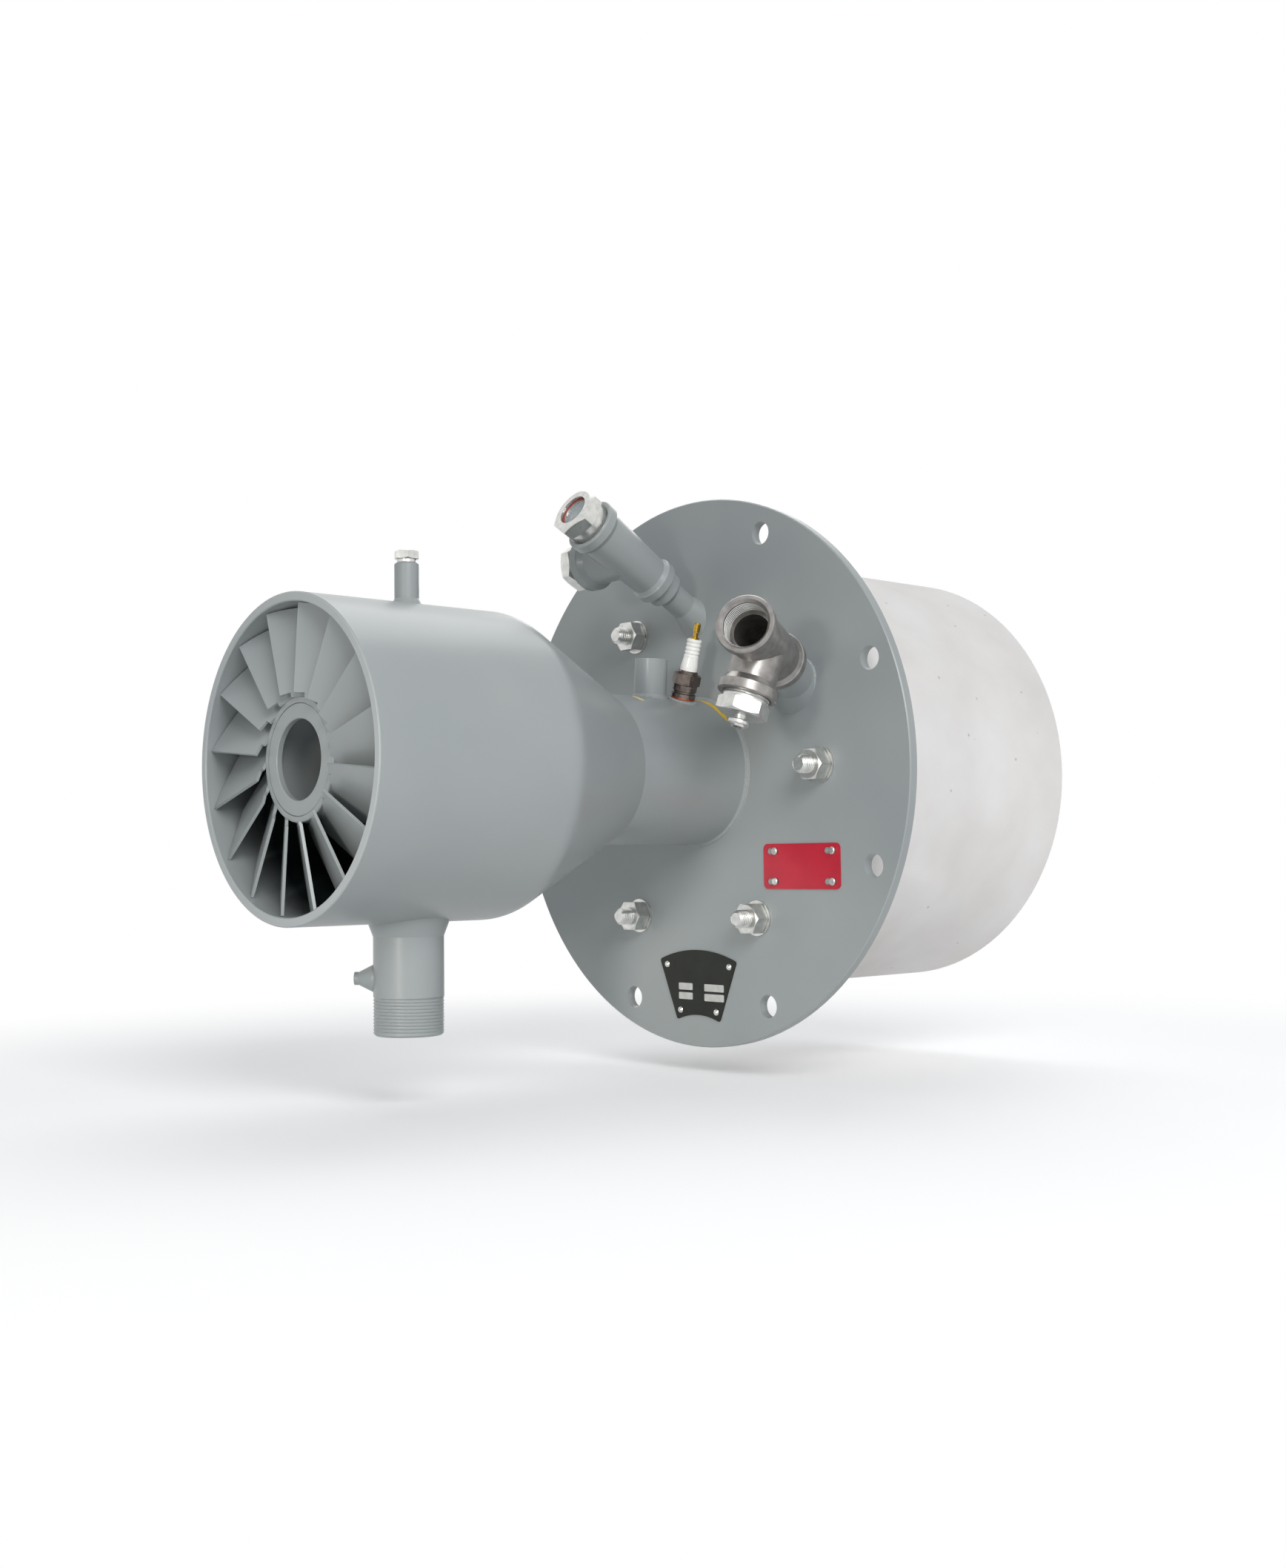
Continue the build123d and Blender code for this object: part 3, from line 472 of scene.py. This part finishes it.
FINISHES = {
    "burner_enamel": finish("enamel_grey_sprayed", grey_enamel),
    "refractory": finish("refractory_white_cast", cast_refractory),
    "zinc_steel": finish("steel_zinc_plated", zinc_plate),
    "black_iron": finish("malleable_iron_cast", malleable_iron),
    "dark_steel": finish("steel_black_oxide", blackened_steel),
    "brass": finish("brass_turned", turned_brass),
    "copper": finish("copper_annealed", annealed_copper),
    "white_ceramic": finish("ceramic_white_glazed", glazed_ceramic),
    "sight_glass": finish("glass_toughened_clear", clear_glass),
    # The gasket's near black is painted shade for the gap between flange and block.
    "gasket": finish("gasket_black_painted_shade", shaded_gasket_fibre),
    "black_plate": finish("aluminium_black_anodised", black_anodised),
    "red_plate": finish("aluminium_red_lacquer", red_lacquer),
}
ENAMEL = FINISHES["burner_enamel"]
BORE_SHADE = finish("steel_bore_painted_shade", bore_shade_steel)
# Yellow and cream films for the painted reflection along the throat's top.
REFLECTION_YELLOW = finish("painted_reflection_yellow", reflection_tint("d8ae1c", "efc830"))
REFLECTION_CREAM = finish("painted_reflection_cream", reflection_tint("dcc884", "ecdca2"))
SEAL_RED = finish("silicone_red", seal_rubber)
UNPRINTED = finish("aluminium_unprinted", bare_aluminium)

slots = {s["node"]: s["material_slot"] for s in frame["record"]["subparts"]}
own_finish = {
    "air_drum": finish("enamel_grey_drum", drum_enamel),
    # The parts deep in the hub bore take a dark finish as painted shade.
    "hub_back_plate": BORE_SHADE,
    "gas_tube": BORE_SHADE,
    "gas_nozzle_head": BORE_SHADE,
    "stud_washers": FINISHES["zinc_steel"],
}
for node, piece in frame["nodes"].items():
    piece.data.materials.clear()
    piece.data.materials.append(own_finish.get(node, FINISHES[slots[node]]))


# ---------------------------------------------------------------- places

def radial(turn):
    """The outward and the sideways direction at a turn."""
    t = math.radians(turn)
    return Vector((0, -math.sin(t), math.cos(t))), Vector((0, -math.cos(t), -math.sin(t)))


def port(turn, along):
    """Point and direction on the axis of an inclined port."""
    axis = Vector((-math.cos(PORT_ANGLE), 0, 0)) + radial(turn)[0] * math.sin(PORT_ANGLE)
    return radial(turn)[0] * PORT_FOOT_R + axis * along, axis


def branch(turn, branch_turn, along):
    """Point and direction on the side branch of a port's tee."""
    out, side = radial(turn)
    inward = Vector((-math.sin(PORT_ANGLE), 0, 0)) - out * math.cos(PORT_ANGLE)
    b = math.radians(branch_turn)
    way = inward * math.cos(b) + side * math.sin(b)
    return port(turn, TEE_CENTRE)[0] + way * along, way


def ring(x, r, count=90):
    """Closed ring of points round the burner axis."""
    return [Vector((x, 0, 0)) + radial(360 * i / count)[0] * r for i in range(count)]


def saddle(x, turn, branch_r, body_r, count=48):
    """Where a round branch that stands on a radial line meets the round body."""
    out, side = radial(turn)
    points = []
    for i in range(count):
        a = math.tau * i / count
        across = branch_r * math.sin(a)
        rise = math.sqrt(body_r ** 2 - across ** 2)
        points.append(Vector((x + branch_r * math.cos(a), 0, 0)) + side * across + out * rise)
    return points


def port_mouth(turn, pipe_r, count=48):
    """Oval where an inclined pipe goes through the flange's front face."""
    out, side = radial(turn)
    points = []
    for i in range(count):
        a = math.tau * i / count
        rise = PORT_FOOT_R + pipe_r / math.cos(PORT_ANGLE) * math.cos(a)
        points.append(out * rise + side * pipe_r * math.sin(a))
    return points


# ---------------------------------------------------------------- rules

def new_rule(name, sizes):
    """A Geometry Nodes tree with a finish and named sizes, and what its inputs give."""
    tree = bpy.data.node_groups.new(name, "GeometryNodeTree")
    tree.interface.new_socket("Geometry", in_out="OUTPUT", socket_type="NodeSocketGeometry")
    tree.interface.new_socket("Geometry", in_out="INPUT", socket_type="NodeSocketGeometry")
    tree.interface.new_socket("Finish", in_out="INPUT", socket_type="NodeSocketMaterial")
    for size in sizes:
        tree.interface.new_socket(size, in_out="INPUT", socket_type="NodeSocketFloat")
    return tree, add(tree, "NodeGroupInput").outputs


def end_rule(tree, instances, given):
    """Every rule ends by making its instances real and putting the finish on."""
    real = add(tree, "GeometryNodeRealizeInstances", {"Geometry": instances})
    coated = add(
        tree,
        "GeometryNodeSetMaterial",
        {"Geometry": real.outputs[0], "Material": given["Finish"]},
    )
    add(tree, "NodeGroupOutput", {"Geometry": coated.outputs[0]})
    return tree


def screw_thread():
    """A ridge wound round +Z, at every point of the base."""
    tree, given = new_rule("screw_thread", ("Radius", "Pitch", "Length", "Ridge"))
    turns = add(tree, "ShaderNodeMath", {0: given["Length"], 1: given["Pitch"]}, operation="DIVIDE")
    helix = add(
        tree,
        "GeometryNodeCurveSpiral",
        {
            "Resolution": 44,
            "Rotations": turns.outputs[0],
            "Start Radius": given["Radius"],
            "End Radius": given["Radius"],
            "Height": given["Length"],
        },
    )
    upright = add(tree, "GeometryNodeSetCurveNormal", {"Curve": helix.outputs[0]}, mode="Z_UP")
    ridge = add(tree, "GeometryNodeCurvePrimitiveCircle", {"Resolution": 4, "Radius": given["Ridge"]})
    wound = add(
        tree,
        "GeometryNodeCurveToMesh",
        {"Curve": upright.outputs[0], "Profile Curve": ridge.outputs[0], "Fill Caps": True},
    )
    set_down = add(
        tree,
        "GeometryNodeInstanceOnPoints",
        {"Points": given["Geometry"], "Instance": wound.outputs[0]},
    )
    return end_rule(tree, set_down.outputs[0], given)


def weld_bead():
    """Overlapping drops of weld metal along the edges of the base."""
    tree, given = new_rule("weld_bead", ("Drop radius", "Step"))
    path = add(tree, "GeometryNodeMeshToCurve", {"Mesh": given["Geometry"]})
    spaced = add(
        tree,
        "GeometryNodeResampleCurve",
        {"Curve": path.outputs[0], "Length": given["Step"]},
        mode="LENGTH",
    )
    drop = add(
        tree,
        "GeometryNodeMeshUVSphere",
        {"Segments": 8, "Rings": 6, "Radius": given["Drop radius"]},
    )
    uneven = add(
        tree,
        "FunctionNodeRandomValue",
        {RANDOM_LOW: 0.86, RANDOM_HIGH: 1.12, "Seed": 4},
        data_type="FLOAT",
    )
    laid = add(
        tree,
        "GeometryNodeInstanceOnPoints",
        {"Points": spaced.outputs[0], "Instance": drop.outputs[0], "Scale": uneven.outputs[RANDOM_OUT]},
    )
    return end_rule(tree, laid.outputs[0], given)


def swirler():
    """The base set round the burner axis, once for each vane."""
    tree, given = new_rule("swirler", ("Vanes", "First turn"))
    places = add(tree, "GeometryNodeMeshLine", {"Count": given["Vanes"], "Offset": (0, 0, 0)})
    number = add(tree, "GeometryNodeInputIndex")
    step = add(tree, "ShaderNodeMath", {0: math.tau, 1: given["Vanes"]}, operation="DIVIDE")
    turned = add(
        tree,
        "ShaderNodeMath",
        {0: number.outputs[0], 1: step.outputs[0], 2: given["First turn"]},
        operation="MULTIPLY_ADD",
    )
    about_x = add(tree, "ShaderNodeCombineXYZ", {"X": turned.outputs[0]})
    set_round = add(
        tree,
        "GeometryNodeInstanceOnPoints",
        {
            "Points": places.outputs[0],
            "Instance": given["Geometry"],
            "Rotation": about_x.outputs[0],
        },
    )
    return end_rule(tree, set_round.outputs[0], given)


# ---------------------------------------------------------------- pieces

def put(name, data):
    """A new object in the scene."""
    made = bpy.data.objects.new(name, data)
    bpy.context.collection.objects.link(made)
    return made


def plain_mesh(name, points, edges=(), faces=()):
    """A mesh made of points, with edges or faces between them."""
    mesh = bpy.data.meshes.new(name)
    mesh.from_pydata([tuple(p) for p in points], list(edges), list(faces))
    return mesh


def grow(base, rule, values, turn=Matrix()):
    """Runs a rule on a base that is laid out in a turned frame, and keeps the plain mesh it makes."""
    base.transform(turn.inverted())
    host = put(base.name + "_base", base)
    growth = host.modifiers.new("rule", "NODES")
    growth.node_group = rule
    for item in rule.interface.items_tree:
        if item.in_out == "INPUT" and item.name in values:
            growth[item.identifier] = values[item.name]
    seen = bpy.context.evaluated_depsgraph_get()
    mesh = bpy.data.meshes.new_from_object(host.evaluated_get(seen), depsgraph=seen)
    mesh.name = base.name
    bpy.data.objects.remove(host)
    mesh.transform(turn)
    return mesh


def settle(mesh, coat=None, body="burner", round_all=False):
    """Makes a mesh a piece of the burner: faces outwards, edges crisp, and riding on its body."""
    if coat:
        mesh.materials.append(coat)
    work = bmesh.new()
    work.from_mesh(mesh)
    bmesh.ops.remove_doubles(work, verts=work.verts, dist=1e-6)
    bmesh.ops.recalc_face_normals(work, faces=work.faces)
    work.to_mesh(mesh)
    work.free()
    mesh.shade_smooth()
    if not round_all:
        mesh.set_sharp_from_angle(angle=math.radians(32))
    piece = put(mesh.name, mesh)
    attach(piece, body)
    return piece


def revolve(name, section, centre, axis, count=120):
    """A closed ring: a section of (along the axis, radius) points swept round the axis."""
    turn = axis.to_track_quat("Z", "Y").to_matrix()
    n = len(section)
    points, faces = [], []
    for i in range(count):
        a = math.tau * i / count
        for along, r in section:
            points.append(centre + turn @ Vector((r * math.cos(a), r * math.sin(a), along)))
        here, after = n * i, n * ((i + 1) % count)
        faces += [
            (here + k, here + (k + 1) % n, after + (k + 1) % n, after + k) for k in range(n)
        ]
    return plain_mesh(name, points, faces=faces)


# ---------------------------------------------------------------- swirler and hub

def vane_plate():
    """One flat vane at turn 0: notched over the hub, its outer end following the drum wall."""
    lean = math.sin(VANE_ANGLE)
    back = Vector((math.cos(VANE_ANGLE), -lean, 0))
    front_face = Vector((-lean, -math.cos(VANE_ANGLE), 0)) * VANE_T
    columns = [0, VANE_NOTCH, VANE_NOTCH + VANE_CORNER]
    columns += [VANE_CHORD * k / VANE_STEPS for k in range(2, VANE_STEPS + 1)]
    points, faces = [], []
    for v in columns:
        gap = VANE_GAP + VANE_GAP_GAIN * v / VANE_CHORD
        outer = math.sqrt((DRUM_IN_R - gap) ** 2 - (v * lean) ** 2)
        if v <= VANE_NOTCH:
            inner = HUB_R + VANE_NOTCH_RISE
        else:
            inner = math.sqrt(HUB_R ** 2 - (v * lean) ** 2) - VANE_IN_HUB
        for u in (inner, outer):
            corner = Vector((VANE_X, 0, u)) + back * v
            points += [corner, corner + front_face]
    for a in range(0, len(points) - 4, 4):
        b = a + 4
        faces += [
            (a, a + 2, b + 2, b),
            (a + 1, b + 1, b + 3, a + 3),
            (a + 2, a + 3, b + 3, b + 2),
            (a, b, b + 1, a + 1),
        ]
    last = len(points) - 4
    faces += [(0, 1, 3, 2), (last, last + 2, last + 3, last + 1)]
    return plain_mesh("swirl_vanes_set", points, faces=faces)


vane_sizes = {"Finish": ENAMEL, "Vanes": VANE_COUNT, "First turn": VANE_START}
vanes = grow(vane_plate(), swirler(), vane_sizes)
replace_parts(settle(vanes), "swirl_vanes")

hub_front = Vector((HUB_FACE_X, 0, 0))
inwards = Vector((1, 0, 0))
hub_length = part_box("hub_tube")[1][0] - HUB_FACE_X
tube_section = [
    (0, HUB_IN_R),
    (0, HUB_R - HUB_EDGE),
    (HUB_EDGE, HUB_R),
    (hub_length, HUB_R),
    (hub_length, HUB_IN_R),
]
hub_shell = revolve("hub_shell", tube_section, hub_front, inwards)
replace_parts(settle(hub_shell, ENAMEL), "hub_tube")

ring_section = [
    (0, HUB_BORE_R + HUB_EDGE),
    (0, HUB_RING_R - HUB_EDGE),
    (HUB_EDGE, HUB_RING_R),
    (HUB_RING_T, HUB_RING_R),
    (HUB_RING_T, HUB_BORE_R),
    (HUB_EDGE, HUB_BORE_R),
]
hub_face = revolve("hub_face_ring", ring_section, hub_front, inwards)
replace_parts(settle(hub_face, ENAMEL), "hub_ring")


# ---------------------------------------------------------------- threads

THREAD = screw_thread()


def thread(name, starts, way, r, pitch, length, slot):
    """Screw threads that start at the given points and run the same way."""
    turn = way.to_track_quat("Z", "Y").to_matrix().to_4x4()
    sizes = {
        "Finish": FINISHES[slot],
        "Radius": r,
        "Pitch": pitch,
        "Length": length,
        "Ridge": RIDGE_SHARE * pitch,
    }
    settle(grow(plain_mesh(name, starts), THREAD, sizes, turn))


stud_starts = [
    Vector((NUT_FRONT_X, 0, 0)) + radial(STUD_START + 360 / STUD_COUNT * i)[0] * STUD_CIRCLE_R
    for i in range(STUD_COUNT)
]
thread(
    "stud_threads",
    stud_starts,
    Vector((-1, 0, 0)),
    STUD_R,
    PITCH_13,
    NUT_FRONT_X - STUD_END_X - STUD_CHAMFER,
    "zinc_steel",
)
thread(
    "gas_pipe_thread",
    [Vector((GAS_X, 0, GAS_THREAD_TOP_Z))],
    Vector((0, 0, -1)),
    GAS_THREAD_R,
    PITCH_11_5,
    GAS_THREAD_L,
    slots["gas_inlet_pipe"],
)
start, way = branch(SIGHT_TURN, SIGHT_BRANCH_TURN, TEE_HALF)
thread(
    "sight_plug_thread", [start], way, PIPE_THREAD_R, PITCH_11_5, PLUG_THREAD_L, slots["sight_side_plug"]
)
start, way = branch(SCANNER_TURN, SCANNER_BRANCH_TURN, TEE_HALF)
thread(
    "scanner_bushing_thread",
    [start],
    way,
    PIPE_THREAD_R,
    PITCH_11_5,
    BUSHING_THREAD_L,
    slots["scanner_hex_bushing"],
)
start, way = port(SCANNER_TURN, TEE_CENTRE + TEE_HALF - SOCKET_DEPTH)
thread(
    "scanner_socket_thread", [start], way, SOCKET_THREAD_R, PITCH_11_5, SOCKET_THREAD_L, "zinc_steel"
)


# ---------------------------------------------------------------- welds

WELD = weld_bead()


def welds(name, loops):
    """Painted weld beads along closed loops of points."""
    points, edges = [], []
    for loop in loops:
        first = len(points)
        points += loop
        edges += [(first + i, first + (i + 1) % len(loop)) for i in range(len(loop))]
    sizes = {"Finish": ENAMEL, "Drop radius": BEAD_R, "Step": 0.75 * BEAD_R}
    settle(grow(plain_mesh(name, points, edges), WELD, sizes), round_all=True)


nipple_x = sum(v[0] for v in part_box("air_test_nipple")) / 2
welds(
    "weld_beads",
    [
        ring(-BEAD_OUT, THROAT_R + BEAD_OUT),
        saddle(GAS_X, 180, GAS_PIPE_R + BEAD_OUT, DRUM_R + ON_DRUM),
        saddle(nipple_x, 0, NIPPLE_R + SMALL_BEAD_OUT, DRUM_R + ON_DRUM),
        saddle(STUB_X, STUB_TURN, STUB_R + SMALL_BEAD_OUT, THROAT_R),
        saddle(IGNITER_X, IGNITER_TURN, IGNITER_BOSS_R + SMALL_BEAD_OUT, THROAT_R),
        port_mouth(SIGHT_TURN, SIGHT_PIPE_R + BEAD_OUT),
        port_mouth(SCANNER_TURN, SCANNER_PIPE_R + BEAD_OUT),
    ],
)


# ---------------------------------------------------------------- painted reflections

def reflection_streak(name, paint, x, width, turn_from, turn_to):
    """A streak of painted reflection along the round of the throat's top, drawn out thin at both ends.
    """
    steps = 24
    film = 0.00015
    thinnest = 0.0002
    points, faces = [], []
    for i in range(steps + 1):
        u = i / steps
        out, side = radial(turn_from + (turn_to - turn_from) * u)
        half = max(thinnest, 0.5 * width * (1 - (2 * u - 1) ** 6))
        for shift, lift in ((-half, 0), (half, 0), (half, film), (-half, film)):
            points.append(Vector((x + shift, 0, 0)) + out * (THROAT_R + lift))
    for a in range(0, 4 * steps, 4):
        b = a + 4
        faces += [(a + k, a + (k + 1) % 4, b + (k + 1) % 4, b + k) for k in range(4)]
    faces += [(0, 1, 2, 3), tuple(4 * steps + k for k in range(4))]
    settle(plain_mesh(name, points, faces=faces), paint)


# Painted reflection: a yellow and a cream streak lie on top of the throat where light catches it.
reflection_streak("reflection_strip", REFLECTION_YELLOW, x=-0.0068, width=0.0052, turn_from=7, turn_to=49)
reflection_streak("reflection_leaf", REFLECTION_CREAM, x=-0.079, width=0.004, turn_from=14, turn_to=27)


# ---------------------------------------------------------------- glass seal and plate fields

glass_low, glass_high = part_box("sight_glass")
glass_middle = (Vector(glass_low) + Vector(glass_high)) / 2
seal_section = []
for k in range(10):
    a = math.tau * k / 10
    seal_section.append((SEAL_OUT + SEAL_SECTION_R * math.sin(a), SEAL_R + SEAL_SECTION_R * math.cos(a)))
seal = revolve("sight_glass_seal", seal_section, glass_middle, port(SIGHT_TURN, 0)[1], 64)
settle(seal, SEAL_RED, "sight_window", round_all=True)


def blank_fields(name, x, fields):
    """Thin blank fields with round corners on a plate, each as (y, z, width, height)."""
    film, corner, steps = 0.00008, 0.0008, 5
    points, faces = [], []
    for y, z, width, height in fields:
        first = len(points)
        outline = []
        for quarter, (sy, sz) in enumerate(((1, 1), (-1, 1), (-1, -1), (1, -1))):
            y_mid = y + sy * (width / 2 - corner)
            z_mid = z + sz * (height / 2 - corner)
            for k in range(steps):
                a = math.pi / 2 * (quarter + k / (steps - 1))
                outline.append((y_mid + corner * math.cos(a), z_mid + corner * math.sin(a)))
        n = len(outline)
        rear = range(first, first + n)
        front = range(first + n, first + 2 * n)
        points += [Vector((x, *p)) for p in outline] + [Vector((x - film, *p)) for p in outline]
        faces += [(rear[k], rear[(k + 1) % n], front[(k + 1) % n], front[k]) for k in range(n)]
        faces += [tuple(rear), tuple(reversed(front))]
    settle(plain_mesh(name, points, faces=faces), UNPRINTED)


plate_low, plate_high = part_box("name_plate")
plate_z = (plate_low[2] + plate_high[2]) / 2
near_fields = [(0.0136, plate_z + rise, 0.0156, 0.0054) for rise in (-0.0016, -0.0090)]
far_fields = [(-0.0180, plate_z + rise, 0.0215, 0.0056) for rise in (-0.0018, -0.0094)]
blank_fields("name_plate_fields", plate_low[0], near_fields + far_fields)


# ---------------------------------------------------------------- stage

FLOOR_Z = -0.236
FLOOR_HALF = 20
LIT_FLOOR = 0.16            # the floor's own light for the camera, on top of the lamps
PAPER_ENDS = (0.45, 1.0)    # distances over which the paper runs out into white
LAMP_AIM = (-0.08, 0, 0)


def rays_that_see(tree):
    """1 for a ray from the camera, off a shiny surface or through glass."""
    rays = add(tree, "ShaderNodeLightPath").outputs
    direct = add(
        tree,
        "ShaderNodeMath",
        {0: rays["Is Camera Ray"], 1: rays["Is Glossy Ray"]},
        operation="MAXIMUM",
    )
    every = add(
        tree,
        "ShaderNodeMath",
        {0: direct.outputs[0], 1: rays["Is Transmission Ray"]},
        operation="MAXIMUM",
    )
    return every.outputs[0]


def paper_sweep():
    """White paper that keeps the shadow near the burner and runs out into pure white."""
    made, tree, place = new_material("paper_white_sweep")
    distance = add(tree, "ShaderNodeVectorMath", {0: place}, operation="LENGTH")
    far = add(
        tree,
        "ShaderNodeMapRange",
        {
            "Value": distance.outputs["Value"],
            "From Min": PAPER_ENDS[0],
            "From Max": PAPER_ENDS[1],
        },
        interpolation_type="SMOOTHSTEP",
    )
    sees = rays_that_see(tree)
    near_light = add(tree, "ShaderNodeMath", {0: sees, 1: LIT_FLOOR}, operation="MULTIPLY")
    paper = add(tree, "ShaderNodeBsdfDiffuse", {"Color": (0.93, 0.93, 0.935, 1.0)})
    lift = add(tree, "ShaderNodeEmission", {"Strength": near_light.outputs[0]})
    near = add(tree, "ShaderNodeAddShader", {0: paper.outputs[0], 1: lift.outputs[0]})
    white = add(tree, "ShaderNodeEmission", {"Strength": 1.0})
    share = add(
        tree,
        "ShaderNodeMath",
        {0: sees, 1: far.outputs["Result"]},
        operation="MULTIPLY",
    )
    mixed = add(
        tree,
        "ShaderNodeMixShader",
        {0: share.outputs[0], 1: near.outputs[0], 2: white.outputs[0]},
    )
    add(tree, "ShaderNodeOutputMaterial", {"Surface": mixed.outputs[0]})
    return made


floor_corners = [
    (sx * FLOOR_HALF, sy * FLOOR_HALF, FLOOR_Z) for sx, sy in ((-1, -1), (1, -1), (1, 1), (-1, 1))
]
floor = put("floor", plain_mesh("floor", floor_corners, faces=[(0, 1, 2, 3)]))
floor.data.materials.append(paper_sweep())

world = bpy.data.worlds.new("studio")
bpy.context.scene.world = world
world.use_nodes = True
sky = world.node_tree
sky.nodes.clear()
soft = add(sky, "ShaderNodeBackground", {"Color": (0.91, 0.96, 1.0, 1.0), "Strength": 0.30})
white = add(sky, "ShaderNodeBackground", {"Color": (1, 1, 1, 1), "Strength": 1.0})
seen = add(
    sky,
    "ShaderNodeMixShader",
    {0: rays_that_see(sky), 1: soft.outputs[0], 2: white.outputs[0]},
)
add(sky, "ShaderNodeOutputWorld", {"Surface": seen.outputs[0]})


def lamp(name, kind, place, aim, watts):
    """A lamp at a place, turned towards the point it aims at."""
    light = bpy.data.lights.new(name, kind)
    light.energy = watts
    holder = put(name, light)
    holder.location = place
    holder.rotation_euler = (Vector(aim) - holder.location).to_track_quat("-Z", "Y").to_euler()
    return light


for name, place, size, watts in (
    ("key_softbox", (-1.05, -2.0, 1.15), (1.3, 1.0), 36),
    ("top_soft", (0.7, 0.7, 2.0), (1.8, 1.6), 16),
    ("back_fill", (1.9, 1.2, 0.7), (1.4, 1.4), 12),
):
    softbox = lamp(name, "AREA", place, LAMP_AIM, watts)
    softbox.shape = "RECTANGLE"
    softbox.size, softbox.size_y = size

beam = lamp("front_beam", "SPOT", (-2.2, -0.85, 0.1), (-0.02, -0.03, -0.14), 80)
beam.color = (1.0, 0.965, 0.90)
beam.spot_size = math.radians(18)
beam.spot_blend = 1.0
beam.shadow_soft_size = 0.2


# ---------------------------------------------------------------- camera

CAMERA_AT = (-0.984527, -1.003671, -0.067034)
CAMERA_RIGHT = (0.742164, -0.670102, -0.012484)
CAMERA_UP = (-0.031270, -0.053227, 0.998093)
CAMERA_BACK = (-0.669488, -0.740358, -0.060456)

camera_data = bpy.data.cameras.new("camera")
camera_data.sensor_width = 36
camera_data.lens = 40.74
camera_data.shift_x = 0.01266
camera_data.shift_y = -0.0214
camera = put("camera", camera_data)
camera_turn = Matrix((CAMERA_RIGHT, CAMERA_UP, CAMERA_BACK)).transposed().to_4x4()
camera.matrix_world = Matrix.Translation(CAMERA_AT) @ camera_turn
bpy.context.scene.camera = camera
bpy.context.scene.view_settings.view_transform = "Standard"
